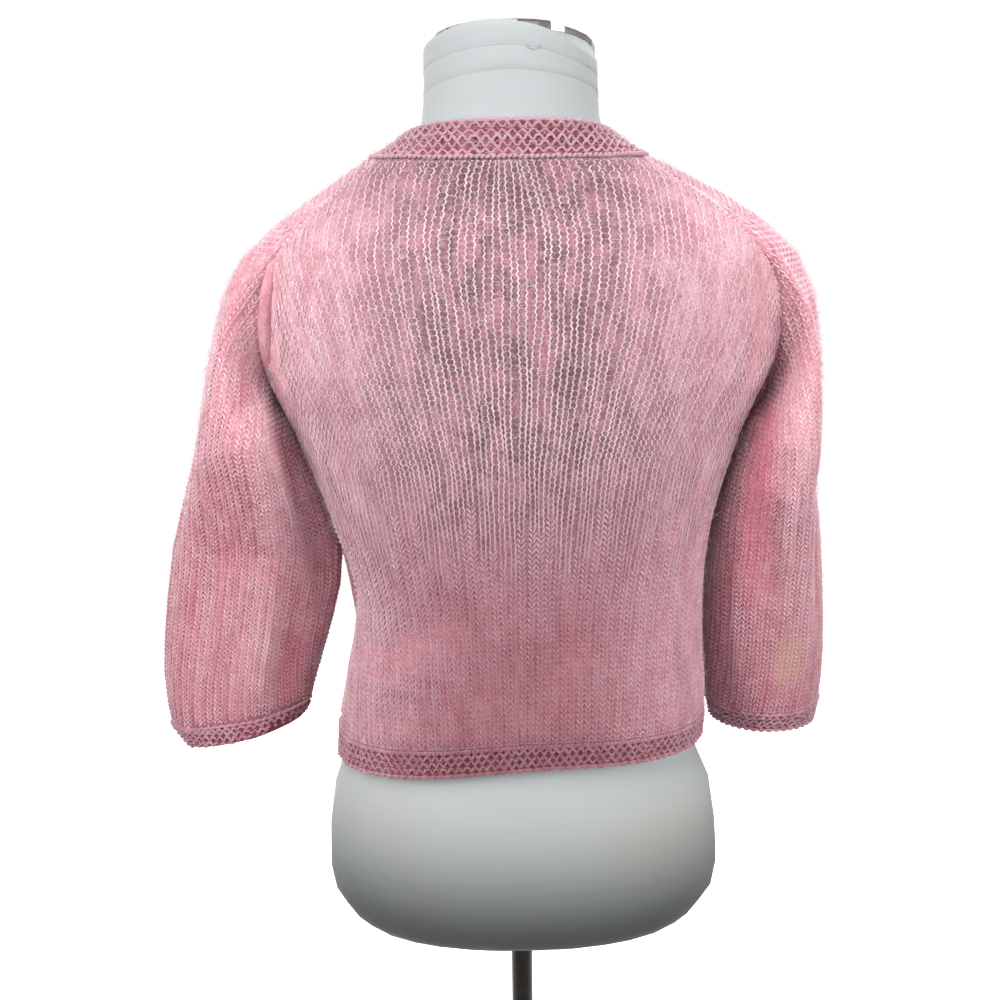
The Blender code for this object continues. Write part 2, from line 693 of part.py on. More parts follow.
def make_form():
    """The covered dress form, its metal neck cap, the pole and the round base."""
    body = loft("form_body", [form_ring(row[0]) for row in FORM_RINGS])
    top = FORM_RINGS[-1][0]
    cap = loft("neck_cap", [form_ring(top, scale, above) for scale, above in CAP_PROFILE])
    underside = FORM_RINGS[0][0] * MM
    flange_top = underside - SEAM_GAP
    flange_bottom = flange_top - FLANGE_THICKNESS
    flange = lathe("pole_flange", rounded_profile(FLANGE_RADIUS, flange_top, flange_bottom, FLANGE_EDGE), 24)
    collar_bottom = BASE_HEIGHT + SEAM_GAP
    collar_top = collar_bottom + COLLAR_HEIGHT
    collar = lathe("base_collar", rounded_profile(COLLAR_RADIUS, collar_top, collar_bottom, COLLAR_EDGE), 20)
    pole_top, pole_bottom = flange_bottom - SEAM_GAP, collar_top + SEAM_GAP
    profile = [(0, pole_top), (POLE_RADIUS, pole_top), (POLE_RADIUS, pole_bottom), (0, pole_bottom)]
    pole = lathe("pole", profile, 20)
    base = lathe("base_plate", rounded_profile(BASE_RADIUS, BASE_HEIGHT, 0.0, BASE_EDGE), 40)
    return body, cap, flange, pole, collar, base


def clear_scene():
    """Removes the objects that a new file holds."""
    for piece in list(bpy.data.objects):
        bpy.data.objects.remove(piece, do_unlink=True)


clear_scene()
PARTS = bpy.data.collections.new(NAME)
bpy.context.scene.collection.children.link(PARTS)

KNIT = material("mohair_knit", (0.72, 0.32, 0.38), 0.9)
BAND = material("garter_knit", (0.68, 0.24, 0.31), 0.9)
BUTTON = material("dyed_button", (0.70, 0.36, 0.42), 0.35)
JERSEY = material("cotton_jersey", (0.72, 0.75, 0.75), 0.85)
CHROME = material("polished_steel", (0.45, 0.44, 0.43), 0.15, 1.0)
LACQUER = material("black_lacquer", (0.03, 0.025, 0.022), 0.3, 0.6)

sleeve_left, cuff_left, seams_left = make_sleeve(-1, "left", SLEEVE_LEFT, FOLDS_LEFT)
sleeve_right, cuff_right, seams_right = make_sleeve(1, "right", SLEEVE_RIGHT, FOLDS_RIGHT)
back_grid = whole_back(seams_left, seams_right)
front_grids = {-1: panel_grid(-1, "front", seams_left), 1: panel_grid(1, "front", seams_right)}
back = wall("back", draw_back(back_grid[0], False), back_grid[1])
front_left = wall("front_left", draw_back(front_grids[-1][0], False), front_grids[-1][1])
front_right = wall("front_right", draw_back(front_grids[1][0], False), front_grids[1][1])
neckband = make_neckband(back_grid, front_grids)
hem_band = make_hem_band(back_grid, front_grids)
band_upper = make_front_band("front_band_right", True)
band_lower = make_front_band("front_band_left", False)
buttons = [make_button(index + 1, height) for index, height in enumerate(BUTTON_HEIGHTS)]
form_body, neck_cap, pole_flange, pole, base_collar, base_plate = make_form()

for piece in (back, front_left, front_right, sleeve_left, sleeve_right):
    paint(piece, KNIT)
for piece in (neckband, hem_band, band_upper, band_lower, cuff_left, cuff_right):
    paint(piece, BAND)
for piece in buttons:
    paint(piece, BUTTON)
paint(form_body, JERSEY)
paint(neck_cap, CHROME)
for piece in (pole_flange, pole, base_collar, base_plate):
    paint(piece, LACQUER)
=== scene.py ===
"""Looks of a loose mohair cardigan on its jersey covered dress form.

The knitted pieces are walls of brushed haze with the yarn of every row laid over them in real loops, and
fine fibres standing off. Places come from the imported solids: rays find each wall's outer skin, and the yarn
is laid on that skin by arc length, so it follows every fold. Lengths are in metres unless a name says mm.
"""
import math

import bmesh
import bpy
import numpy as np
from mathutils import Matrix, Vector
from mathutils.bvhtree import BVHTree


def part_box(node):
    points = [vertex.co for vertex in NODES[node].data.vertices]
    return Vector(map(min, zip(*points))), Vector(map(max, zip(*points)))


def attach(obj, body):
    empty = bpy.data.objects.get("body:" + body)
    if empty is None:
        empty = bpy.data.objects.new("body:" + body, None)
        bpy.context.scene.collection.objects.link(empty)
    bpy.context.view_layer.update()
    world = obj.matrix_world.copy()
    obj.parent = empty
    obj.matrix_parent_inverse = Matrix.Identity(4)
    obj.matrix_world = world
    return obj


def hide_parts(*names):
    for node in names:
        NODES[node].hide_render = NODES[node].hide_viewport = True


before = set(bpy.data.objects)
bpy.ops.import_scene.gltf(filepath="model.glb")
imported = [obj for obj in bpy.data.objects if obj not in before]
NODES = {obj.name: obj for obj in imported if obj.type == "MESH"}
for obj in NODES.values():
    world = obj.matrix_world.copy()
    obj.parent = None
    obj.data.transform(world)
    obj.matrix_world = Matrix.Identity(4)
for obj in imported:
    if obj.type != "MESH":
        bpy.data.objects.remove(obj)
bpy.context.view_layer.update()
MM = 0.001
RANDOM = np.random.default_rng(27)

# Knitting, as counted in the photograph
ROW = 4.65 * MM             # height of a row of the body and the sleeves
BAND_ROW = 5.2 * MM         # one ridge of the garter stitch bands
HEM_ROW = 4.4 * MM          # one ridge at the hem and the cuffs
YARN = 0.62 * MM            # radius of the yarn's core
BAND_YARN = 1.25 * MM
LIFT = 0.35 * MM            # the yarn's middle lies this much over the wall, half sunk in the haze
# Width of a wale on the body at shares of its height, in mm: it is stretched over the shoulders
BODY_WALES = ((0.0, 6.4), (0.25, 6.8), (0.5, 8.2), (0.7, 11.0), (0.85, 12.8), (0.97, 12.6), (1.0, 11.6))
SLEEVE_WALES = ((0.0, 6.4), (0.3, 6.7), (0.7, 7.2), (1.0, 8.2))

BAND_WALES = ((0.0, 8.2), (1.0, 8.2))
HEM_WALES = ((0.0, 6.6), (1.0, 6.6))

# One stitch: place across the wale, height in rows, depth in mm, share of the yarn's thickness, and one where
# the yarn dives into the haze and isn't drawn up to the next point.
# Where the back is stretched the legs stand apart: the four strands are the left leg, the right leg and the
# thin rungs of head and foot, so that neighbouring legs make cells of six sides
STRETCHED = (
    (0.31, -0.52, 0.0, 1.1, 0),
    (0.19, 0.00, 0.2, 1.2, 0),
    (0.31, 0.52, 0.0, 1.1, 1),
    (0.31, 0.50, -0.36, 0.20, 0),
    (0.69, 0.50, -0.36, 0.20, 1),
    (0.69, 0.52, 0.0, 1.1, 0),
    (0.81, 0.00, 0.2, 1.2, 0),
    (0.69, -0.52, 0.0, 1.1, 1),
    (0.81, 0.00, -0.36, 0.20, 0),
    (1.19, 0.00, -0.36, 0.20, 1),
)
# Where it is slack only the two slanted legs show
SLACK = (
    (0.46, -0.58, -0.75, 0.8, 0),
    (0.29, 0.00, 0.35, 1.3, 0),
    (0.07, 0.48, -0.65, 0.8, 1),
    (0.93, 0.48, -0.65, 0.8, 0),
    (0.71, 0.00, 0.35, 1.3, 0),
    (0.54, -0.58, -0.75, 0.8, 1),
)
# Garter ridges: heads and feet make one round wave along the row, and the next row lies half a stitch on, so
# that the waves meet and leave round holes
GARTER_RISE = (0.33, 0.22, -0.22, -0.33, -0.22, 0.22)
GARTER_DEPTH = (0.5, 0.1, -0.2, 0.3, -0.2, 0.1)
GARTER = tuple((k / 6, GARTER_RISE[k], GARTER_DEPTH[k], 1.0, 0) for k in range(6))
# On the slope of the shoulders the fronts' rows are laid from above
SHOULDER_DEPTH = (-0.055, 0.018)    # from behind the seam to the front of the crest
SHOULDER_REACH = (0.062, 0.196)     # from the neck to the armhole
SHOULDER_ABOVE = 1.45               # the rays start here and end short of the chest
SHOULDER_RAY = 0.18
SHOULDER_WALES = ((0.0, 11.6), (1.0, 11.6))
STRETCHED_ABOVE = 0.36              # share of a panel's height from which the stitches stand open

# Soft creases: the side that they are on (-1 rear, 1 front), half width and height in mm (a trough is below
# nought), and the places that they run through, as x and z in mm
CREASES = {
    "sleeve_left": (
        (-1, 14, 9.0, ((-199, 1295), (-206, 1245), (-208, 1200), (-203, 1140), (-189, 1075), (-180, 1030))),
        (-1, 16, 5.0, ((-226, 1290), (-232, 1240), (-228, 1190))),
        (-1, 15, 5.0, ((-216, 1040), (-217, 975), (-224, 905))),
        (-1, 17, -11.0, ((-184, 1160), (-164, 1129), (-157, 1087), (-158, 1040), (-163, 1000))),
        (-1, 18, -2.5, ((-240, 1150), (-240, 1085), (-242, 1006))),
        (-1, 13, -4.5, ((-194, 990), (-196, 935), (-194, 900))),
        (1, 12, 4.0, ((-222, 1240), (-228, 1170), (-219, 1090), (-232, 1010))),
        (1, 14, -4.0, ((-196, 1180), (-190, 1105), (-199, 1030))),
        (1, 10, 3.0, ((-205, 1000), (-214, 955), (-208, 915))),
    ),
    "sleeve_right": (
        (-1, 15, 6.5, ((222, 1275), (228, 1180), (224, 1096), (236, 1010), (244, 929))),
        (-1, 12, 5.0, ((202, 1285), (207, 1235), (203, 1195))),
        (-1, 16, -9.0, ((207, 1225), (198, 1150), (196, 1084), (197, 1005))),
        (-1, 9, 3.0, ((188, 1011), (184, 966), (188, 921))),
        (-1, 11, -2.5, ((246, 1120), (250, 1050), (254, 985))),
        (1, 12, 4.0, ((214, 1235), (224, 1160), (214, 1080))),
        (1, 13, -4.0, ((236, 1190), (241, 1110), (233, 1040))),
        (1, 10, 3.0, ((208, 1030), (219, 975), (212, 925))),
    ),
    "back": (
        (-1, 13, -5.0, ((-190, 1300), (-195, 1255), (-192, 1215), (-184, 1180))),
        (-1, 13, -4.0, ((190, 1300), (195, 1255), (192, 1215), (184, 1180))),
        (-1, 17, 3.5, ((-142, 940), (-95, 948), (-38, 982), (6, 1022))),
        (-1, 16, -3.0, ((-140, 968), (-92, 986), (-45, 1030))),
        (-1, 13, 2.5, ((-160, 1150), (-140, 1112), (-112, 1070))),
        (-1, 12, 2.5, ((136, 1030), (128, 980), (139, 936))),
        (-1, 13, -2.0, ((158, 1140), (140, 1100), (118, 1070))),
        (-1, 15, -2.5, ((20, 948), (38, 990), (44, 1040))),
    ),
    "front_left": (
        (1, 16, 3.0, ((-150, 1150), (-118, 1095), (-80, 1060))),
        (1, 15, 3.0, ((-120, 935), (-80, 960), (-40, 1000))),
    ),
    "front_right": (
        (1, 15, 3.0, ((152, 1140), (120, 1100), (90, 1050))),
        (1, 16, -2.5, ((120, 940), (86, 975), (60, 1015))),
    ),
    "form_body": (
        (-1, 3.5, -2.2, ((-45, 727), (-20, 719), (10, 715), (42, 718))),
        (-1, 3.0, 1.4, ((-50, 735), (-14, 728), (34, 727))),
        (1, 3.5, -2.0, ((-30, 718), (4, 716), (38, 722))),
    ),
}

# Camera, as worked out from the photograph
EYE = (0.0, -1.2, 1.38)
PITCH = 13.5                # degrees that it looks down
ROLL = -0.69
FOCAL_PIXELS = 1458.0
PHOTO_WIDTH = 1000.0
AXIS_PIXEL = 516.5          # the garment's middle lies right of the photograph's


# The cloth is stretched thin high up in the middle, by its distance from the middle, its height and how far
# back it lies, and the front by a share of that
SHEER_WIDTH = (0.04, 0.185)
SHEER_HEIGHT = (0.98, 1.18)
SHEER_REAR = (-0.04, 0.06)
SHEER_FRONT_SHARE = 0.4
# The beige stain near the right sleeve's edge: how its distances are squeezed, and its middle squeezed alike
STAIN_SHAPE = (1.0, 0.2, 0.6)
STAIN_MIDDLE = (0.232, -0.006, 0.571)
# How much longer than wide slubs are, up the cloth
SLUBS = (1, 1, 0.35)

RAMP, RANGE, MIX, MATH = ["ShaderNode" + kind for kind in ("ValToRGB", "MapRange", "Mix", "Math")]
BUMP = "ShaderNodeBump"
BLENDED = {"data_type": "RGBA"}
LAID_OVER = {"data_type": "RGBA", "blend_type": "MULTIPLY"}
SMOOTH = {"interpolation_type": "SMOOTHSTEP"}


def linear(code):
    """A colour with alpha from its sRGB hex code."""
    values = [int(code[k:k + 2], 16) / 255 for k in (1, 3, 5)]
    return (*[v / 12.92 if v <= 0.04045 else ((v + 0.055) / 1.055) ** 2.4 for v in values], 1.0)


def add(tree, kind, inputs, out=0, stops=(), **settings):
    """Adds a node with its settings and links and gives one of its outputs.

    An input is a value or another node's output; stops are a ramp's places and sRGB codes.
    """
    node = tree.nodes.new(kind)
    for name, value in settings.items():
        setattr(node, name, value)
    for name, value in inputs.items():
        if isinstance(value, bpy.types.NodeSocket):
            tree.links.new(value, node.inputs[name])
        else:
            node.inputs[name].default_value = value
    if stops:
        elements = node.color_ramp.elements
        while len(elements) < len(stops):
            elements.new(0.5)
        for element, (place, code) in zip(elements, stops):
            element.position = place
            element.color = linear(code)
    return node.outputs[out]


def new_material(name, values):
    """A material, its tree and its shader with the values that are the same all over."""
    made = bpy.data.materials.new(name)
    made.use_nodes = True
    shader = made.node_tree.nodes["Principled BSDF"]
    for socket, value in values.items():
        shader.inputs[socket].default_value = value
    return made, made.node_tree, shader


def mottle(tree, place, scale, detail=3.0, stretch=(1.0, 1.0, 1.0)):
    """Uneven patches with so many features a metre, drawn out along the axes whose stretch is small."""
    drawn = add(tree, "ShaderNodeMapping", {"Vector": place, "Scale": stretch})
    return add(tree, "ShaderNodeTexNoise", {"Vector": drawn, "Scale": scale, "Detail": detail})


def dress(tree, shader, color, height, strength, distance, under=None):
    """Gives a shader its colour and the relief of its surface, over another relief where there is one."""
    tree.links.new(color, shader.inputs["Base Color"])
    inputs = {"Height": height, "Strength": strength, "Distance": distance}
    if under is not None:
        inputs["Normal"] = under
    tree.links.new(add(tree, BUMP, inputs), shader.inputs["Normal"])


def zones(tree):
    """Object coordinates, a share for where the cloth is stretched thin, and a painted shade that darkens it
    lower down and in the middle of the back.
    """
    place = add(tree, "ShaderNodeTexCoord", {}, "Object")
    axes = add(tree, "ShaderNodeSeparateXYZ", {"Vector": place}).node.outputs
    across = add(tree, MATH, {0: axes["X"]}, operation="ABSOLUTE")
    inner = add(tree, RANGE, {0: across, 1: SHEER_WIDTH[1], 2: SHEER_WIDTH[0]}, **SMOOTH)
    above = add(tree, RANGE, {0: axes["Z"], 1: SHEER_HEIGHT[0], 2: SHEER_HEIGHT[1]}, **SMOOTH)
    strained = add(tree, MATH, {0: inner, 1: above}, operation="MULTIPLY")
    rear_most = add(tree, RANGE, {0: axes["Y"], 1: SHEER_REAR[1], 2: SHEER_REAR[0], 3: SHEER_FRONT_SHARE})
    sheer = add(tree, MATH, {0: strained, 1: rear_most}, operation="MULTIPLY")
    # Painted shade: the cloth is darkened lower down, where it curves in under the light from above, most of
    # all in the concave middle of the back, and a little at the very top
    height = add(tree, RANGE, {0: axes["Z"], 1: 0.90, 2: 1.40})
    lower = add(tree, RAMP, {"Fac": height},
                stops=((0.0, "#DFD2D5"), (0.6, "#FFFFFF"), (0.86, "#FFFFFF"), (1.0, "#DCD3D6")))
    sides = add(tree, RANGE, {0: across, 1: 0.03, 2: 0.15}, **SMOOTH)
    full = add(tree, MATH, {0: sides, 1: above}, operation="MAXIMUM")
    hollow_painted_shade = add(tree, RAMP, {"Fac": full}, stops=((0.0, "#CBB4B9"), (1.0, "#FFFFFF")))
    return place, sheer, add(tree, MIX, {0: 1.0, 6: lower, 7: hollow_painted_shade}, 2, **LAID_OVER)


def dyed_and_painted_shade(tree, place, color, grain, depth):
    """A colour with its grain and the painted shade from zones, painted shade of deep rose in troughs and a
    painted highlight on ridges, and the sleeve's stain.
    """
    for layer in (grain, depth):
        color = add(tree, MIX, {0: 1.0, 6: color, 7: layer}, 2, **LAID_OVER)
    # Painted shade and highlight: the fold attribute mixes troughs towards deep rose and ridges towards pale
    # pink
    fold = add(tree, "ShaderNodeAttribute", {}, "Fac", attribute_name="fold")
    level = add(tree, RANGE, {0: fold, 1: -1.0, 2: 0.0})
    color = add(tree, MIX, {0: level, 6: linear("#D26C82"), 7: color}, 2, **BLENDED)
    ridge = add(tree, RANGE, {0: fold, 1: 0.0, 2: 1.0, 4: 0.45})
    color = add(tree, MIX, {0: ridge, 6: color, 7: linear("#FBE3E8")}, 2, **BLENDED)
    squeezed = add(tree, "ShaderNodeMapping", {"Vector": place, "Scale": STAIN_SHAPE})
    away = add(tree, "ShaderNodeVectorMath", {0: squeezed, 1: STAIN_MIDDLE}, "Value", operation="DISTANCE")
    spot = add(tree, RANGE, {0: away, 1: 0.022, 2: 0.004, 4: 0.5}, **SMOOTH)
    return add(tree, MIX, {0: spot, 6: color, 7: linear("#C6A58C")}, 2, **BLENDED)


def yarn_material(name, pale, full, deep, thin_pale):
    """Brushed mohair yarn, coloured in the dye bath before knitting: a pale twisted core with deeper pink
    slubs along it.
    """
    made, tree, shader = new_material(name, {
        "Roughness": 0.85, "Specular IOR Level": 0.2, "Sheen Weight": 0.75, "Sheen Roughness": 0.5,
        "Sheen Tint": linear("#FADFE4")})
    place, sheer, depth = zones(tree)
    slubs = mottle(tree, place, 110, 4, SLUBS)
    slack = add(tree, RAMP, {"Fac": slubs}, stops=((0.32, pale), (0.52, full), (0.72, deep)))
    strained = add(tree, RAMP, {"Fac": slubs}, stops=((0.35, thin_pale), (0.62, pale)))
    color = add(tree, MIX, {0: sheer, 6: slack, 7: strained}, 2, **BLENDED)
    fleck = mottle(tree, place, 900, 2)
    grain = add(tree, RAMP, {"Fac": fleck}, stops=((0.3, "#E2E2E2"), (0.65, "#FFFFFF")))
    dress(tree, shader, dyed_and_painted_shade(tree, place, color, grain, depth), mottle(tree, place, 2600, 2), 0.5, 0.3 * MM)
    return made


def haze_material(name, dense, opened):
    """The brushed fibres that close the mesh: pink slubs, and greyer where the stretched cloth shows the form
    through, with painted shade for the form's shadow behind the cloth.
    """
    made, tree, shader = new_material(name, {
        "Roughness": 0.95, "Specular IOR Level": 0.1, "Sheen Weight": 0.55, "Sheen Roughness": 0.5,
        "Sheen Tint": linear("#F4C3CD")})
    place, sheer, depth = zones(tree)
    patches = mottle(tree, place, 60, 5, (1, 1, 0.4))
    slubs = mottle(tree, place, 330, 3, (1, 1, 0.32))
    both = add(tree, MIX, {0: 0.45, 6: patches, 7: slubs}, 2, **BLENDED)
    thin = add(tree, RAMP, {"Fac": both}, stops=tuple(zip((0.42, 0.50, 0.60), opened)))
    closed = add(tree, RAMP, {"Fac": both}, stops=tuple(zip((0.40, 0.50, 0.62), dense)))
    color = add(tree, MIX, {0: sheer, 6: closed, 7: thin}, 2, **BLENDED)
    fine = mottle(tree, place, 900, 4)
    grain = add(tree, RAMP, {"Fac": fine}, stops=((0.34, "#CFC6C8"), (0.62, "#FFFFFF")))
    dress(tree, shader, dyed_and_painted_shade(tree, place, color, grain, depth), mottle(tree, place, 1100, 4), 0.6, 0.6 * MM)
    return made


def jersey_material():
    """Stretched cotton jersey: greyish white, with fine wales and faint level lines where it is pulled."""
    made, tree, shader = new_material("cotton_jersey_knitted", {"Roughness": 0.85, "Specular IOR Level": 0.2,
                                                                "Sheen Weight": 0.15})
    place = add(tree, "ShaderNodeTexCoord", {}, "Object")
    height = add(tree, "ShaderNodeSeparateXYZ", {"Vector": place}, "Z")
    soiled = mottle(tree, place, 7, 4)
    clean = add(tree, RAMP, {"Fac": soiled}, stops=((0.30, "#A4A9AA"), (0.55, "#A9ADAE"), (0.75, "#AAABA5")))
    # Painted shade: the cover is darkened where it is drawn under towards its lower edge, away from the light
    # from above
    low = add(tree, RANGE, {0: height, 1: 0.87, 2: 0.715}, **SMOOTH)
    base = add(tree, MIX, {0: low, 6: clean, 7: linear("#303234")}, 2, **BLENDED)
    # Real wales are 0.7 mm apart. They are drawn 1.5 mm apart, so that they show from a step away.
    wales = add(tree, "ShaderNodeTexWave", {"Vector": place, "Scale": 104, "Distortion": 2.5, "Detail": 2.0},
                "Fac", bands_direction="X", wave_profile="SIN")
    streaks = mottle(tree, place, 420, 3, (0.16, 0.16, 1.0))
    both = add(tree, MIX, {0: 0.5, 6: wales, 7: streaks}, 2, **BLENDED)
    lines = add(tree, RAMP, {"Fac": both}, stops=((0.25, "#FBFBFB"), (0.7, "#FFFFFF")))
    color = add(tree, MIX, {0: 1.0, 6: base, 7: lines}, 2, **LAID_OVER)
    creases = mottle(tree, place, 24, 3, (0.35, 0.35, 2.6))
    wrinkles = add(tree, BUMP, {"Height": creases, "Strength": 0.16, "Distance": 4 * MM})
    dress(tree, shader, color, streaks, 0.06, 0.5 * MM, wrinkles)
    return made


def handled_material(name, color, worn, roughness, metallic):
    """A plain finish whose tone and gloss vary a little where it was handled."""
    made, tree, shader = new_material(name, {"Metallic": metallic})
    marks = mottle(tree, add(tree, "ShaderNodeTexCoord", {}, "Object"), 140, 5)
    gloss = add(tree, RANGE, {0: marks, 3: roughness * 0.85, 4: roughness * 1.3})
    tree.links.new(gloss, shader.inputs["Roughness"])
    tone = add(tree, RAMP, {"Fac": marks}, stops=((0.3, color), (0.75, worn)))
    tree.links.new(tone, shader.inputs["Base Color"])
    return made


def button_material():
    """Dyed plastic of casein look: satin pink with faint cloudy bands."""
    made, tree, shader = new_material("dyed_plastic_turned", {"Roughness": 0.35, "Coat Weight": 0.3})
    cloud = mottle(tree, add(tree, "ShaderNodeTexCoord", {}, "Object"), 220, 3, (1, 1, 3))
    tone = add(tree, RAMP, {"Fac": cloud}, stops=((0.3, "#D98FA0"), (0.7, "#EDB6C0")))
    tree.links.new(tone, shader.inputs["Base Color"])
    return made


def skin_tree(node):
    """A search tree of a CAD node's faces."""
    data = NODES[node].data
    return BVHTree.FromPolygons([v.co for v in data.vertices], [tuple(p.vertices) for p in data.polygons])


def hit(tree, target, direction, reach=0.3):
    """The first point of a skin on the way in to a target."""
    found = tree.ray_cast(Vector(target) + Vector(direction) * reach, -Vector(direction), reach)
    return found[0]


def directions(turns, side, lean=0.0):
    """Outward and upward directions of the rays at each turn round a limb; side is -1 to mirror the turns."""
    angles = np.radians(turns)
    level = np.stack([side * np.cos(angles), np.sin(angles), np.zeros_like(angles)], axis=1)
    up = np.array([0.0, 0.0, 1.0])
    tilt = math.radians(lean)
    return level * math.cos(tilt) + up * math.sin(tilt), up * math.cos(tilt) - level * math.sin(tilt)


def extent(tree, outward, upward, centre, low, high, step=1.0 * MM):
    """How far the skin reaches along the upward way at one turn, or None where the rays miss it."""
    places = np.arange(low, high, step)
    met = [place for place in places if hit(tree, centre(place) + upward * place, outward) is not None]
    return (met[0], met[-1]) if len(met) > 2 else None


def smooth_line(values, passes, closed=False):
    """Values evened out along their line, whose ends stay where they are."""
    for _ in range(passes):
        before, after = np.roll(values, 1, axis=0), np.roll(values, -1, axis=0)
        evened = (before + 2 * values + after) / 4
        if not closed:
            evened[0], evened[-1] = values[0], values[-1]
        values = evened
    return values


def fill_missing(points, valid):
    """Points with the missing ones of each row set to its nearest found one."""
    filled = points.copy()
    for row, known in zip(filled, valid):
        if known.any():
            order = np.arange(len(known))
            nearest = np.abs(order[:, None] - order[known][None]).argmin(axis=1)
            row[:] = row[known][nearest]
    return filled


def crease_samples(node):
    """Points along the creases of a node, with the half width and a height that fades at the ends."""
    tree = skin_tree(node)
    samples = []
    for side, width, height, path in CREASES.get(node, ()):
        places = np.array(path) * MM
        runs = np.concatenate([[0], np.cumsum(np.linalg.norm(np.diff(places, axis=0), axis=1))])
        count = max(int(runs[-1] / (width * MM * 0.4)), 4)
        for run in np.linspace(0, runs[-1], count):
            x, z = np.interp(run, runs, places[:, 0]), np.interp(run, runs, places[:, 1])
            found = tree.ray_cast(Vector((x, side * 0.4, z)), Vector((0, -side, 0)), 0.4)[0]
            if found is not None:
                fade = math.sin(math.pi * (0.03 + 0.94 * run / runs[-1]))
                samples.append((*found, width * MM, height * MM * fade))
    return samples


def crease_height(points, node):
    """How far the creases of a node lift or sink each point, in metres."""
    highest, lowest = np.zeros(len(points)), np.zeros(len(points))
    for x, y, z, width, height in crease_samples(node):
        near = ((points - (x, y, z)) ** 2).sum(axis=1) / width ** 2
        shift = height * np.exp(-near)
        highest = np.maximum(highest, shift)
        lowest = np.minimum(lowest, shift)
    return highest + lowest


def creased(points, node, centre):
    """Points of a node moved out or in by its creases, level and away from the middle of the limb."""
    flat = points.reshape(-1, 3)
    away = flat - np.array([centre(z) for z in flat[:, 2]])
    away[:, 2] = 0
    away /= np.maximum(np.linalg.norm(away, axis=1, keepdims=True), 1e-9)
    return (flat + away * crease_height(flat, node)[:, None]).reshape(points.shape)


DEEPEST = 13 * MM           # a crease of this height has the full colour of a fold


def mark_folds(piece, node):
    """Gives the vertices of a piece its node's creases as the attribute fold, from -1 to 1, from which shade
    and a highlight are painted.
    """
    points = np.empty(len(piece.data.vertices) * 3)
    piece.data.vertices.foreach_get("co", points)
    share = crease_height(points.reshape(-1, 3), node) / (DEEPEST if "sleeve" in node else 4 * DEEPEST)
    layer = piece.data.attributes.new("fold", "FLOAT", "POINT")
    layer.data.foreach_set("value", share.clip(-1, 1))


class Skin:
    """The outer skin of a cloth wall as a grid: rows run round or across it, columns up it."""

    def __init__(self, node, turns, rows, low, high, centre, side=1, lean=0.0, closed=False, flat_top=None):
        tree = skin_tree(node)
        outward, upward = directions(turns, side, lean)
        self.closed = closed
        ends = [extent(tree, outward[k], upward[k], centre, low, high) for k in range(len(turns))]
        known = np.array([end is not None for end in ends])
        order = np.arange(len(turns))
        starts = np.interp(order, order[known], [end[0] for end in ends if end])
        tops = np.interp(order, order[known], [end[1] for end in ends if end])
        starts = smooth_line(starts, 6, closed)
        tops = smooth_line(tops, 6, closed) if flat_top is None else np.full(len(turns), flat_top)
        self.points = np.zeros((rows, len(turns), 3))
        self.valid = np.zeros((rows, len(turns)), bool)
        for row in range(rows):
            share = min(max(row / (rows - 1), 0.004), 0.996)
            for k in range(len(turns)):
                place = starts[k] * (1 - share) + tops[k] * share
                found = hit(tree, centre(place) + upward[k] * place, outward[k]) if known[k] else None
                if found is not None:
                    self.points[row, k] = found
                    self.valid[row, k] = True
        self.points = creased(fill_missing(self.points, self.valid), node, centre)
        self.middle = len(turns) // 2
        self.finish()

    def finish(self):
        """Works out the normals and the arc lengths from the middle column."""
        if self.closed:
            around = np.roll(self.points, -1, axis=1) - np.roll(self.points, 1, axis=1)
        else:
            around = np.gradient(self.points, axis=1)
        cross = np.cross(around, np.gradient(self.points, axis=0))
        size = np.linalg.norm(cross, axis=2, keepdims=True)
        normals = cross / np.maximum(size, 1e-9)
        outward = self.points - self.points.mean(axis=(0, 1))
        if (normals * outward).sum() < 0:
            normals = -normals
        for _ in range(3):
            normals[1:-1] = (normals[:-2] + 2 * normals[1:-1] + normals[2:]) / 4
            normals[:, 1:-1] = (normals[:, :-2] + 2 * normals[:, 1:-1] + normals[:, 2:]) / 4
        self.normals = normals / np.maximum(np.linalg.norm(normals, axis=2, keepdims=True), 1e-9)
        steps = np.linalg.norm(np.diff(self.points, axis=1), axis=2)
        self.arc = np.concatenate([np.zeros((len(steps), 1)), np.cumsum(steps, axis=1)], axis=1)
        self.arc -= self.arc[:, self.middle:self.middle + 1]

    def height(self):
        """Mean length of the columns that are found from end to end, in metres."""
        steps = np.linalg.norm(np.diff(self.points, axis=0), axis=2)
        whole = self.valid.mean(axis=0) > 0.97
        return float(steps[:, whole].sum(axis=0).mean()) if whole.any() else float(steps.sum(axis=0).max())

    def at(self, share, arc):
        """Points, normals and whether they are on the cloth, for shares of the height and arc lengths."""
        rows, columns = self.valid.shape
        level = np.clip(share, 0, 1) * (rows - 1)
        low = np.clip(level.astype(int), 0, rows - 2)
        part = (level - low)[:, None]
        points, normals, inside = 0, 0, True
        for row, weight in ((low, 1 - part), (low + 1, part)):
            column = np.empty(len(arc))
            for each in np.unique(row):
                chosen = row == each
                column[chosen] = np.interp(arc[chosen], self.arc[each], np.arange(columns), -1, -1)
            inside = inside & (column >= 0)
            column = np.maximum(column, 0)
            left = np.clip(column.astype(int), 0, columns - 2)
            across = (column - left)[:, None]
            inside = inside & self.valid[row, left] & self.valid[row, left + 1]
            for k, share_across in ((left, 1 - across), (left + 1, across)):
                points = points + self.points[row, k] * weight * share_across
                normals = normals + self.normals[row, k] * weight * share_across
        return points, normals, inside & (share >= 0) & (share <= 1)


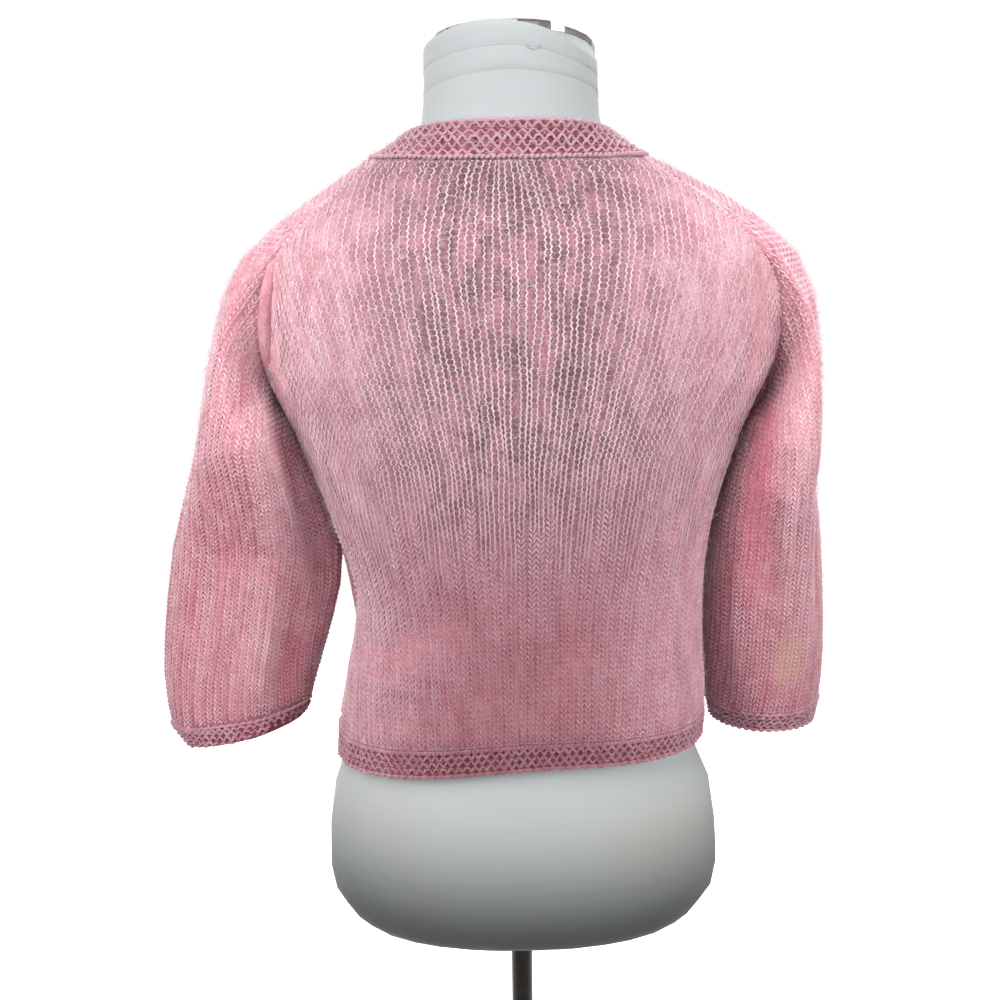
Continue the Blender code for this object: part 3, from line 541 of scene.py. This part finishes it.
class ShoulderSkin(Skin):
    """The skin of a front on the slope of its shoulder, met from above, with rows from the seam forward."""

    def __init__(self, node, side, rows=48, columns=70):
        tree = skin_tree(node)
        self.closed = False
        self.points = np.zeros((rows, columns, 3))
        self.valid = np.zeros((rows, columns), bool)
        for row, y in enumerate(np.linspace(*SHOULDER_DEPTH, rows)):
            for column, x in enumerate(np.linspace(*SHOULDER_REACH, columns)):
                start = Vector((side * x, y, SHOULDER_ABOVE))
                found = tree.ray_cast(start, Vector((0, 0, -1)), SHOULDER_RAY)[0]
                if found is not None:
                    self.points[row, column] = found
                    self.valid[row, column] = True
        self.points = fill_missing(self.points, self.valid)
        self.middle = columns // 2
        self.finish()
        if self.normals[..., 2].mean() < 0:
            self.normals = -self.normals

    def height(self):
        """Length of the way over the crest, which is nearly level."""
        return SHOULDER_DEPTH[1] - SHOULDER_DEPTH[0]


def wale_width(table, share):
    """Width of a wale at a share of the height, in metres."""
    rows = np.array(table)
    return np.interp(share, rows[:, 0], rows[:, 1]) * MM


def knit_rows(skin, table, row_height, lower, upper, gather=0.0):
    """The yarn of every row as lines of points with a share of thickness; gather draws in the top."""
    count = max(int(round(skin.height() / row_height)), 1)
    slack = RANDOM.normal(0, 1, (count + 4, 400))
    lines = []
    for row in range(count + 1):
        share = row / count
        width = float(wale_width(table, share))
        level = skin.arc[int(round(share * (len(skin.arc) - 1)))]
        if skin.closed:
            whole = level[-1] - level[0]
            wales = int(round(whole / width))
            width = whole / wales
            numbers = np.arange(wales) + math.ceil(level[0] / width)
        else:
            numbers = np.arange(math.floor(level[0] / width) - 1, math.ceil(level[-1] / width) + 2)
        ragged = STRETCHED_ABOVE + 0.05 * np.sin(numbers * 0.9) + 0.035 * np.sin(numbers * 2.3 + 1)
        shapes = [np.array(upper if share > edge else lower) for edge in ragged]
        stagger = 0.5 * (row % 2) if lower is GARTER else 0.0
        column = np.concatenate([np.full(len(shape), number) for number, shape in zip(numbers, shapes)])
        across, rise, depth, thick, dives = np.concatenate(shapes).T
        place = column + across + stagger
        # A wale wanders slowly up the cloth, and each stitch is pulled a little differently
        drift = np.sin(column * 1.7 + row * 0.13 + 2 * np.sin(column * 0.9)) * 0.09
        drift += np.sin(column * 5.1 - row * 0.37) * 0.05 + slack[0, (column * 7) % 400] * 0.04
        pull = slack[row, column % 400] * 0.02
        arc = (place + drift + pull) * width
        arc -= gather * max(share - 0.88, 0) / 0.12 * (arc + 0.012) * np.exp(-(arc / 0.06) ** 2)
        if skin.closed:
            arc = (arc - level[0]) % whole + level[0]
        lifted = (rise + slack[row + 1, column % 400] * 0.03) / count
        points, normals, inside = skin.at(np.clip(share + lifted, 0.001, 0.999), arc)
        points = points + normals * (LIFT + depth * MM)[:, None]
        thick = thick * (1 + 0.16 * slack[row + 2, (column * 3) % 400].clip(-1.5, 1.5))
        lines += split(np.column_stack([points, thick]), inside, dives > 0, arc if skin.closed else None)
    return lines


def split(points, inside, dives, arc=None):
    """Cuts a line of points where it leaves the cloth, dives into it or starts a new round."""
    jump = np.zeros(len(points), bool)
    jump[1:] = dives[:-1]
    if arc is not None:
        jump[1:] |= np.abs(np.diff(arc)) > 0.05
    lines, current = [], []
    for point, good, cut in zip(points, inside, jump):
        if current and (cut or not good):
            lines.append(np.array(current))
            current = []
        if good:
            current.append(point)
    if current:
        lines.append(np.array(current))
    return [line for line in lines if len(line) > 1]


def poly_spline(curve, line):
    """Adds one line of points to a curve and gives it; a fourth number is the share of its thickness."""
    spline = curve.splines.new("POLY")
    spline.points.add(len(line) - 1)
    spline.points.foreach_set("co", np.column_stack([line[:, :3], np.ones(len(line))]).ravel())
    if line.shape[1] > 3:
        spline.points.foreach_set("radius", line[:, 3].copy())
    return spline


def placed(name, data, made, crisp=None):
    """An object of a finished mesh, smooth but for edges sharper than crisp degrees, where it is given."""
    data.shade_smooth()
    if crisp:
        data.set_sharp_from_angle(angle=math.radians(crisp))
    piece = bpy.data.objects.new(name, data)
    bpy.context.scene.collection.objects.link(piece)
    data.materials.clear()
    data.materials.append(made)
    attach(piece, "root")
    return piece


def strands(name, lines, made, width=0.0, profile=None):
    """Lines of points as one mesh: flat fibres of a width, or tubes round a profile."""
    curve = bpy.data.curves.new(name, "CURVE")
    curve.dimensions = "3D"
    curve.extrude = width / 2
    helpers = [bpy.data.objects.new(name + "_curve", curve)]
    if profile:
        helpers.append(bpy.data.objects.new(name + "_profile", profile))
        curve.bevel_mode = "OBJECT"
        curve.bevel_object = helpers[1]
        curve.use_fill_caps = len(profile.splines[0].points) > 3
    for line in lines:
        poly_spline(curve, line)
    for each in helpers:
        bpy.context.scene.collection.objects.link(each)
    bpy.context.view_layer.update()
    data = bpy.data.meshes.new_from_object(helpers[0].evaluated_get(bpy.context.evaluated_depsgraph_get()))
    for each in helpers:
        bpy.data.objects.remove(each)
    data.name = name
    return placed(name, data, made)


def tubes(name, lines, radius, made, sides=3):
    """Yarn through lines of points, as one mesh."""
    profile = bpy.data.curves.new(name + "_profile", "CURVE")
    angles = 2 * math.pi * np.arange(sides) / sides
    ring = np.column_stack([radius * np.cos(angles), radius * np.sin(angles), np.zeros(sides)])
    poly_spline(profile, ring).use_cyclic_u = True
    return strands(name, lines, made, profile=profile)


def wall_of(node, name, made, cuts=1, centre=None):
    """A cloth piece welded from its CAD solid, with finer faces that carry its creases."""
    mesh = bmesh.new()
    mesh.from_mesh(NODES[node].data)
    bmesh.ops.remove_doubles(mesh, verts=mesh.verts, dist=0.02 * MM)
    if cuts:
        bmesh.ops.subdivide_edges(mesh, edges=mesh.edges, cuts=cuts, use_grid_fill=True)
    data = bpy.data.meshes.new(name)
    mesh.to_mesh(data)
    mesh.free()
    points = np.array([v.co for v in data.vertices])
    data.vertices.foreach_set("co", creased(points, node, centre or axis_centre).ravel())
    data.update()
    piece = placed(name, data, made, 50)
    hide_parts(node)
    return piece


def fibres(skin, count):
    """Fine fibres that stand off the yarn, rooted at random places of the skin: mostly short, some long."""
    rows, columns = skin.valid.shape
    row = RANDOM.integers(0, rows, count * 3)
    column = RANDOM.integers(0, columns, count * 3)
    keep = skin.valid[row, column]
    row, column = row[keep][:count], column[keep][:count]
    roots = skin.points[row, column] + RANDOM.normal(0, 1.2 * MM, (len(row), 3))
    normals = skin.normals[row, column]
    sideways = np.cross(normals, RANDOM.normal(0, 1, (len(row), 3)))
    sideways /= np.maximum(np.linalg.norm(sideways, axis=1, keepdims=True), 1e-9)
    long_ones = RANDOM.uniform(0, 1, len(row)) < 0.12
    lengths = np.where(long_ones, RANDOM.uniform(7, 13, len(row)), RANDOM.uniform(2.5, 6.5, len(row)))
    lengths = lengths[:, None] * MM
    stand = RANDOM.uniform(0.05, 0.8, len(row))[:, None]
    curl = RANDOM.normal(0, 0.3, (len(row), 3)) + (0, 0, -0.15)
    start = roots + normals * LIFT
    bend = start + (sideways + normals * stand) * lengths * 0.5
    tip = bend + (sideways * 0.7 + curl + normals * stand * 0.4) * lengths * 0.5
    return [np.array(line) for line in zip(start, bend, tip)]


def border(skin, last, low=0.0, high=1.0):
    """Points and normals along the first or last column that is found in each row, evened out."""
    rows, columns = skin.valid.shape
    points, normals = [], []
    for row in range(int(low * (rows - 1)), int(high * (rows - 1)) + 1):
        known = np.flatnonzero(skin.valid[row])
        if len(known) > 2:
            column = known[-1] if last else known[0]
            points.append(skin.points[row, column])
            normals.append(skin.normals[row, column])
    return smooth_line(np.array(points), 10), smooth_line(np.array(normals), 10)


def column_line(skin, turn_share, high):
    """Points and normals up one column of a skin, to a share of its height."""
    rows, columns = skin.valid.shape
    column = int(turn_share * (columns - 1))
    chosen = slice(int(high * (rows - 1)) + 1)
    return smooth_line(skin.points[chosen, column], 6), skin.normals[chosen, column]


def row_line(skin, share):
    """Points and normals along one row of a skin, where it is found."""
    row = int(share * (len(skin.points) - 1))
    known = skin.valid[row]
    return skin.points[row][known], skin.normals[row][known]


def rope(points, normals, lift, bump_length, amount, side=0.0):
    """A line laid on the skin that swells at every stitch; side moves it along the cloth, across the line."""
    steps = np.linalg.norm(np.diff(points, axis=0), axis=1)
    runs = np.concatenate([[0], np.cumsum(steps)])
    count = max(int(runs[-1] / (bump_length / 4)), 4)
    places = np.linspace(0, runs[-1], count)
    line = np.column_stack([np.interp(places, runs, points[:, k]) for k in range(3)])
    out = np.column_stack([np.interp(places, runs, normals[:, k]) for k in range(3)])
    along = np.gradient(line, axis=0)
    across = np.cross(out, along)
    across /= np.maximum(np.linalg.norm(across, axis=1, keepdims=True), 1e-9)
    wave = np.sin(2 * math.pi * places / bump_length)[:, None]
    line = line + out * (lift + amount * wave) + across * (side + amount * 0.8 * np.roll(wave, 1, axis=0))
    return np.column_stack([line, 1 + 0.25 * wave])


def axis_centre(place):
    """The upright axis of the form."""
    return np.zeros(3)


def section_centres(node, low, high, steps=60):
    """Middles of a sleeve's level sections, as a function of the height."""
    data = NODES[node].data
    points = np.array([v.co for v in data.vertices])
    edges = np.array([tuple(e.vertices) for e in data.edges])
    first, second = points[edges[:, 0]], points[edges[:, 1]]
    heights = np.linspace(low + 1 * MM, high - 1 * MM, steps)
    middles = []
    for level in heights:
        crossing = (first[:, 2] - level) * (second[:, 2] - level) < 0
        a, b = first[crossing], second[crossing]
        met = a + (b - a) * ((level - a[:, 2]) / (b[:, 2] - a[:, 2]))[:, None]
        middles.append((met[:, :2].min(axis=0) + met[:, :2].max(axis=0)) / 2)
    middles = smooth_line(np.array(middles), 8)

    def centre(place):
        return np.array([*[np.interp(place, heights, middles[:, k]) for k in range(2)], 0.0])
    return centre


def turned_button(name, centre, radius, thick, made):
    """A round button with a rim and a dished middle, its face towards +Y."""
    profile = ((0.0, 0.62), (0.62, 0.62), (0.74, 0.98), (0.86, 1.0),
               (0.96, 0.86), (1.0, 0.55), (0.93, 0.2), (0.0, 0.0))
    mesh = bmesh.new()
    made_verts = [mesh.verts.new((share * radius, depth * thick, 0)) for share, depth in profile]
    edges = [mesh.edges.new(pair) for pair in zip(made_verts, made_verts[1:])]
    bmesh.ops.spin(mesh, geom=made_verts + edges, cent=(0, 0, 0), axis=(0, 1, 0), angle=2 * math.pi, steps=40,
                   use_merge=True)
    bmesh.ops.remove_doubles(mesh, verts=mesh.verts, dist=0.01 * MM)
    bmesh.ops.recalc_face_normals(mesh, faces=mesh.faces)
    bmesh.ops.translate(mesh, verts=mesh.verts, vec=centre)
    return mesh_piece(name, mesh, made, 40)


def mesh_piece(name, mesh, made, crisp):
    """An object of a finished bmesh."""
    data = bpy.data.meshes.new(name)
    mesh.to_mesh(data)
    mesh.free()
    return placed(name, data, made, crisp)


def ringed(name, rings, made, wall):
    """A closed tube of cloth through rings of points, extruded ring by ring and given its wall."""
    mesh = bmesh.new()
    sides = len(rings[0])
    bmesh.ops.create_circle(mesh, cap_ends=False, radius=1, segments=sides)
    mesh.verts.ensure_lookup_table()
    current = list(mesh.verts)
    edges = list(mesh.edges)
    for vertex, point in zip(current, rings[0]):
        vertex.co = point
    for ring in rings[1:]:
        grown = bmesh.ops.extrude_edge_only(mesh, edges=edges)["geom"]
        edges = [item for item in grown if isinstance(item, bmesh.types.BMEdge)]
        fresh = {item for item in grown if isinstance(item, bmesh.types.BMVert)}
        following = []
        for vertex in current:
            beside = [edge.other_vert(vertex) for edge in vertex.link_edges]
            following.append(next(other for other in beside if other in fresh))
        for vertex, point in zip(following, ring):
            vertex.co = point
        current = following
    bmesh.ops.recalc_face_normals(mesh, faces=mesh.faces)
    if sum(face.normal.dot(face.calc_center_median() * Vector((1, 1, 0))) for face in mesh.faces) < 0:
        bmesh.ops.reverse_faces(mesh, faces=mesh.faces)
    bmesh.ops.solidify(mesh, geom=mesh.faces[:], thickness=wall)
    return mesh_piece(name, mesh, made, 60)


# Materials. Mohair is soft and matt, and its long fibres catch the light at the edges. The body's yarn is
# greyer where it is stretched, and the bands' is deeper, since their stitches lie close.
YARN_BODY = yarn_material("mohair_yarn_brushed", "#F0D6DB", "#E8C0C9", "#D8A3B0", "#CEB7BC")
YARN_SLEEVE = yarn_material("mohair_yarn_sleeve", "#F3D3DA", "#ECB9C4", "#DE9BAA", "#F3D3DA")
YARN_BAND = yarn_material("mohair_yarn_bands", "#D6ABB5", "#CB94A2", "#BA7B8A", "#D6ABB5")
FIBRE = yarn_material("mohair_fibre_brushed", "#F8E4E8", "#F2D0D7", "#E8BAC5", "#F0DFE2")
DENSE_BODY = ("#D096A2", "#DDAAB5", "#EAC3CB")
# Where the body is stretched thin the haze is grey brown: the greyish form seen through it, and painted shade
# for the shadow on the form behind the cloth
OPEN_BODY = ("#795A62", "#916F79", "#B8818D")
DENSE_SLEEVE = ("#C77C8C", "#D6919F", "#E5AAB6")
DENSE_BAND = ("#834354", "#9A586A", "#AC6A7A")
HAZE_BODY = haze_material("mohair_haze_body", DENSE_BODY, OPEN_BODY)
HAZE_SLEEVE = haze_material("mohair_haze_sleeve", DENSE_SLEEVE, DENSE_SLEEVE)
HAZE_BAND = haze_material("mohair_haze_bands", DENSE_BAND, DENSE_BAND)
JERSEY = jersey_material()
BUTTON = button_material()
# Polished steel is a dim mirror, black lacquer a deep satin, and twisted cotton thread is dull
CHROME = handled_material("steel_polished", "#6A6461", "#8A8380", 0.12, 1.0)
LACQUER = handled_material("steel_black_lacquered", "#0F0B08", "#191410", 0.36, 0.9)
STITCHING = handled_material("cotton_thread_twisted", "#C9CDD0", "#B4B8BC", 0.8, 0.0)

CLOTH = ("back", "front_left", "front_right", "sleeve_left", "sleeve_right")
BANDS = ("neckband", "hem_band", "cuff_left", "cuff_right", "front_band_left", "front_band_right")

# Skins
PANEL_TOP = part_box("back")[1].z - 0.5 * MM
PANEL_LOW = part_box("back")[0].z - 3 * MM
BAND_LEAN = 45.0            # the neckband lies on the slope of the shoulders
NECK_MIDDLE = (0.0, 0.0, 1.374)


def neck_centre(place):
    """The middle of the neckline."""
    return np.array(NECK_MIDDLE)


centres = dict.fromkeys(CLOTH + BANDS, axis_centre)
skins = {}
for node, first_turn, last_turn, count, rows in (
    ("back", 181, 359, 179, 150), ("front_right", -1, 84, 86, 130), ("front_left", 96, 181, 86, 130)
):
    skins[node] = Skin(node, np.linspace(first_turn, last_turn, count), rows, PANEL_LOW, PANEL_TOP + 2 * MM,
                       axis_centre, flat_top=PANEL_TOP)
for side, name in ((-1, "left"), (1, "right")):
    node, cuff = "sleeve_" + name, "cuff_" + name
    low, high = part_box(node)[0].z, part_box(node)[1].z
    centres[node] = centres[cuff] = section_centres(node, low, high)
    skins[node] = Skin(node, np.linspace(-180, 180, 181), 130, low, high, centres[node], side,
                       flat_top=high - 0.5 * MM)
    low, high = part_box(cuff)[0].z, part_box(cuff)[1].z
    skins[cuff] = Skin(cuff, np.linspace(-180, 176, 90), 12, low - 2 * MM, high + 2 * MM, centres[cuff], side,
                       closed=True)
low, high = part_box("hem_band")[0].z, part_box("hem_band")[1].z
skins["hem_band"] = Skin("hem_band", np.linspace(98, 442, 173), 14, low - 2 * MM, high + 2 * MM, axis_centre)
skins["neckband"] = Skin("neckband", np.linspace(90, 450, 181), 16, -0.15, 0.0, neck_centre, lean=BAND_LEAN)
low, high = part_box("front_band_right")[0].z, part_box("front_band_right")[1].z
skins["front_band_right"] = Skin("front_band_right", np.linspace(82.5, 97.5, 16), 160, low - 1 * MM,
                                 high + 1 * MM, axis_centre)

# Walls
walls = {}
for node in CLOTH + BANDS:
    look = HAZE_BAND if node in BANDS else HAZE_SLEEVE if "sleeve" in node else HAZE_BODY
    walls[node] = wall_of(node, node + "_haze", look, 1 if node in CLOTH else 0, centres[node])
    mark_folds(walls[node], node)

# Yarn: the wales' widths, the row's height, the stitches of the lower and upper part, the radius and the look
PANEL = (BODY_WALES, ROW, SLACK, STRETCHED, YARN, YARN_BODY)
SLEEVE = (SLEEVE_WALES, ROW, SLACK, SLACK, YARN, YARN_SLEEVE)
WIDE_BAND = (BAND_WALES, BAND_ROW, GARTER, GARTER, BAND_YARN, YARN_BAND)
CLOSE_BAND = (HEM_WALES, HEM_ROW, GARTER, GARTER, BAND_YARN, YARN_BAND)
KNITTING = {"back": PANEL, "front_left": PANEL, "front_right": PANEL,
            "sleeve_left": SLEEVE, "sleeve_right": SLEEVE, "neckband": WIDE_BAND, "hem_band": CLOSE_BAND,
            "cuff_left": CLOSE_BAND, "cuff_right": CLOSE_BAND, "front_band_right": WIDE_BAND}
BACK_GATHER = 0.35          # how far the neckband draws the back's wales together
knitted = {node: [] for node in CLOTH + BANDS}
for node, (wales, row_height, lower, upper, thickness, look) in KNITTING.items():
    lines = knit_rows(skins[node], wales, row_height, lower, upper, BACK_GATHER if node == "back" else 0.0)
    piece = tubes(node + "_yarn", lines, thickness, look)
    mark_folds(piece, node)
    knitted[node].append(piece)

# Seams and cast off edges, as ropes of yarn with a swelling at every stitch
SEAM = 1.3 * MM
seams = {"back": [rope(*border(skins["back"], last, 0.02), 0.6 * MM, ROW, 0.35 * MM, side)
                  for last in (False, True) for side in (0.0, -4.5 * MM if last else 4.5 * MM)]}
for node, last in (("front_left", False), ("front_right", True)):
    seams[node] = [rope(*border(skins[node], last, 0.01, 0.97), 0.7 * MM, ROW, 0.35 * MM)]
for node in ("sleeve_left", "sleeve_right"):
    seams[node] = [rope(*column_line(skins[node], 0.015, 0.7), 0.4 * MM, ROW, 0.6 * MM)]
# Along the bands' edges: share of the height, and in mm the lift, length, size and shift of the swelling
EDGES = {
    "hem_band": ((0.0, 0.5, 6.6, 1.0, 0.0), (1.0, 0.4, 3.3, 0.5, 0.0)),
    "neckband": ((1.0, 0.3, 8.2, 0.5, 0.0), (0.0, 0.9, 4.1, 0.9, 0.3)),
    "cuff_left": ((0.0, 0.4, 6.6, 0.7, 0.0), (1.0, 0.4, 6.6, 0.7, 0.0)),
    "cuff_right": ((0.0, 0.4, 6.6, 0.7, 0.0), (1.0, 0.4, 6.6, 0.7, 0.0)),
}
for node, edges in EDGES.items():
    seams[node] = [rope(*row_line(skins[node], share), *[size * MM for size in sizes])
                   for share, *sizes in edges]
for node, lines in seams.items():
    band = node in BANDS
    look = YARN_BAND if band or "front" in node else YARN_BODY
    piece = tubes(node + ("_edge" if band else "_seam"), lines, SEAM, look, sides=5)
    knitted[node].append(piece)

# Where the sleeve is drawn over the shoulder blade its seam lies in a soft roll of cloth, from back to sleeve
ROLL_RADIUS = 8.0 * MM
ROLL_PATH = np.array(((192, 1188), (196, 1210), (197, 1235), (195, 1260), (189, 1290), (178, 1318))) * MM


def rear(tree, x, z):
    """How far back a skin stands at a place, as y."""
    found = tree.ray_cast(Vector((x, -0.4, z)), Vector((0, 1, 0)), 0.4)[0]
    return found.y if found else None


back_tree = skin_tree("back")
for way, name in ((-1, "left"), (1, "right")):
    sleeve_tree = skin_tree("sleeve_" + name)
    middle = []
    for z in np.linspace(ROLL_PATH[0, 1], ROLL_PATH[-1, 1], 40):
        x = np.interp(z, ROLL_PATH[:, 1], ROLL_PATH[:, 0])
        met = [rear(back_tree, way * (x - 8 * MM), z), rear(sleeve_tree, way * (x + 9 * MM), z)]
        if None not in met:
            middle.append((way * x, sum(met) / 2 + ROLL_RADIUS - 0.5 * MM, z))
    swell = np.sin(math.pi * np.linspace(0.05, 0.95, len(middle))) ** 0.5
    line = np.column_stack([smooth_line(np.array(middle), 10), swell])
    piece = tubes("armhole_roll_" + name, [line], ROLL_RADIUS, HAZE_SLEEVE, sides=16)
    mark_folds(piece, "sleeve_" + name)
    knitted["back"].append(piece)

# Mohair has far more fibres than can be drawn, so this many on each piece stand for them
FIBRE_WIDTH = 0.16 * MM
SHOULDER_FIBRES = 300
FIBRES = {"back": 13000, "front_left": 4600, "front_right": 4600, "sleeve_left": 8000, "sleeve_right": 7500,
          "neckband": 2200, "hem_band": 3200, "cuff_left": 1000, "cuff_right": 900, "front_band_right": 600}
for node, count in FIBRES.items():
    piece = strands(node + "_fibres", fibres(skins[node], count), FIBRE, FIBRE_WIDTH)
    knitted[node].append(piece)

for way, name in ((-1, "left"), (1, "right")):
    shoulder = ShoulderSkin("front_" + name, way)
    lines = knit_rows(shoulder, SHOULDER_WALES, ROW, STRETCHED, STRETCHED)
    for piece in (tubes("shoulder_yarn_" + name, lines, YARN, YARN_BODY),
                  strands("shoulder_fibres_" + name, fibres(shoulder, SHOULDER_FIBRES), FIBRE, FIBRE_WIDTH)):
        knitted["front_" + name].append(piece)

# Buttons, with the thread that crosses over each in an X
for k in range(1, 6):
    low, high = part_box("button_%d" % k)
    radius = (high.x - low.x) / 2
    middle = Vector(((low.x + high.x) / 2, low.y, (low.z + high.z) / 2))
    button = turned_button("button_%d_turned" % k, middle, radius, high.y - low.y, BUTTON)
    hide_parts("button_%d" % k)
    gap = radius * 0.24
    top = middle.y + (high.y - low.y) * 0.70
    crossing = []
    for slope in (1, -1):
        start, end = [Vector((middle.x + way * gap, top, middle.z + way * slope * gap)) for way in (-1, 1)]
        crossing.append(np.array([start, (start + end) / 2 + Vector((0, 0.5 * MM, 0)), end]))
    thread = tubes("button_%d_thread" % k, crossing, 0.45 * MM, YARN_BAND, sides=6)

# The dress form
form = wall_of("form_body", "form_jersey", JERSEY, 1, axis_centre)
for node in ("neck_cap", "pole_flange", "pole", "base_collar", "base_plate"):
    NODES[node].data.materials.clear()
    NODES[node].data.materials.append(CHROME if node == "neck_cap" else LACQUER)

# The jersey's end is drawn over the rim of the cap, and has slipped off it at the wearer's right
COVER_BELOW = 0.030         # from the rim down to its lower edge
COVER_ABOVE = 0.0085
COVER_SLIP = 0.012          # how far it has slipped at the lowest place
SLIP_TURN = -28.0           # degrees round the axis
SLIP_SPREAD = 38.0
HEM_DEPTH = 0.010           # from the rim down to the hem's stitches
form_tree = skin_tree("form_body")


def rim_height(turn):
    """Height of the neck's upper edge, which leans down to the front."""
    return 1.4480 - 0.0202 * math.sin(math.radians(turn))


def slipped(turn):
    """How far the cover has slipped down at a turn."""
    away = abs((turn - SLIP_TURN + 180) % 360 - 180)
    return COVER_SLIP * math.exp(-(away / SLIP_SPREAD) ** 2)


def on_neck(turn, z, out):
    """A place that stands out from the neck, or from above its edge, by a distance."""
    way = Vector((math.cos(math.radians(turn)), math.sin(math.radians(turn)), 0))
    point = hit(form_tree, (0, 0, min(z, rim_height(turn) - 0.002)), way)
    radius = point.xy.length + out
    return (radius * way.x, radius * way.y, z)


def cover_point(turn, share):
    """A place on the cover's end, at a share of its height there."""
    rim = rim_height(turn)
    low = rim - COVER_BELOW
    top = rim + COVER_ABOVE - slipped(turn) + 0.0004 * math.sin(math.radians(5 * turn))
    z = low + (top - low) * share
    stitch = rim - HEM_DEPTH - 0.5 * slipped(turn)
    pinch = math.exp(-((z - stitch) / (1.1 * MM)) ** 2) * 0.45 * MM
    loose = (-0.5 if share == 0 else 0.5 + 0.5 * share) * MM
    turned_in = 2.5 * MM if share == 1 else 0.4 * MM if share > 0.9 else 0
    return on_neck(turn, z, loose - pinch + (0.35 * MM if z > stitch else 0) - turned_in)


turns = np.arange(0, 360, 5)
shares = (0, 0.06, 0.2, 0.35, 0.46, 0.52, 0.58, 0.64, 0.70, 0.78, 0.86, 0.94, 1)
rings = [[cover_point(turn, share) for turn in turns] for share in shares]
cover = ringed("neck_cover", rings, JERSEY, 0.5 * MM)
DASH = 1.9                  # degrees of each stitch of the hem
dashes = [np.array([on_neck(each, rim_height(each) - HEM_DEPTH - 0.5 * slipped(each), 1.0 * MM)
                    for each in (turn, turn + DASH / 2, turn + DASH)]) for turn in np.arange(0, 360, 2.8)]
# The cover's join, and a loose loop of its thread
join = np.array([on_neck(308, rim_height(308) + down, 1.35 * MM) for down in (0.004, -0.001, -0.008)])
loop = np.array([on_neck(turn, rim_height(turn) - HEM_DEPTH - fall, 1.4 * MM)
                 for turn, fall in ((281, 0.0), (283, 0.003), (286, 0.0042), (289, 0.003), (291, 0.0))])
stitches = tubes("neck_cover_stitches", dashes + [join], 0.16 * MM, STITCHING, sides=4)
thread = tubes("neck_cover_thread", [loop], 0.25 * MM, JERSEY, sides=5)


def set_stage():
    """A pale floor, soft studio light from above and the camera at the photograph's angle."""
    mesh = bmesh.new()
    bmesh.ops.create_circle(mesh, cap_ends=True, radius=40.0, segments=96)
    data = bpy.data.meshes.new("floor")
    mesh.to_mesh(data)
    mesh.free()
    floor = bpy.data.objects.new("floor", data)
    bpy.context.scene.collection.objects.link(floor)
    # The floor glows a little and throws no light back up, so the room stays pale and is lit from above
    made, _, _ = new_material("pale_floor_paint", {
        "Roughness": 0.9, "Specular IOR Level": 0.1, "Base Color": linear("#FAFAFA"),
        "Emission Color": linear("#FFFFFF"), "Emission Strength": 1.0})
    data.materials.append(made)
    floor.visible_diffuse = False

    world = bpy.data.worlds.new("studio")
    bpy.context.scene.world = world
    world.use_nodes = True
    world.node_tree.nodes["Background"].inputs["Color"].default_value = linear("#FFFFFF")
    world.node_tree.nodes["Background"].inputs["Strength"].default_value = 1.05
    world.cycles_visibility.diffuse = False

    for name, place, target, size, power in (
        ("fill_light", (0.2, -2.8, 1.3), (0, 0, 1.1), 2.0, 14),
        ("top_light", (-0.4, -1.3, 2.9), (0, 0, 1.2), 1.5, 38),
        ("right_light", (2.1, -1.6, 1.6), (0, 0, 1.1), 1.6, 66),
        ("left_light", (-2.2, -1.4, 1.8), (0, 0, 1.15), 1.6, 68),
        ("front_top_light", (0.5, 1.3, 2.9), (0, 0, 1.15), 1.6, 60),
        ("front_light", (-1.2, 2.4, 1.5), (0, 0, 1.0), 1.8, 34),
    ):
        lamp = bpy.data.lights.new(name, "AREA")
        lamp.size = size
        lamp.energy = power
        holder = bpy.data.objects.new(name, lamp)
        holder.location = place
        holder.rotation_euler = (Vector(target) - Vector(place)).to_track_quat("-Z", "Y").to_euler()
        bpy.context.scene.collection.objects.link(holder)

    lens = bpy.data.cameras.new("camera")
    lens.sensor_width = 36.0
    lens.lens = 36.0 * FOCAL_PIXELS / PHOTO_WIDTH
    lens.shift_x = (PHOTO_WIDTH / 2 - AXIS_PIXEL) / PHOTO_WIDTH
    lens.clip_end = 100
    camera = bpy.data.objects.new("camera", lens)
    tilt = Matrix.Rotation(math.radians(90 - PITCH), 4, "X")
    camera.matrix_world = Matrix.Translation(EYE) @ tilt @ Matrix.Rotation(math.radians(ROLL), 4, "Z")
    bpy.context.scene.collection.objects.link(camera)
    bpy.context.scene.camera = camera


set_stage()
bpy.context.scene.view_settings.view_transform = "Standard"
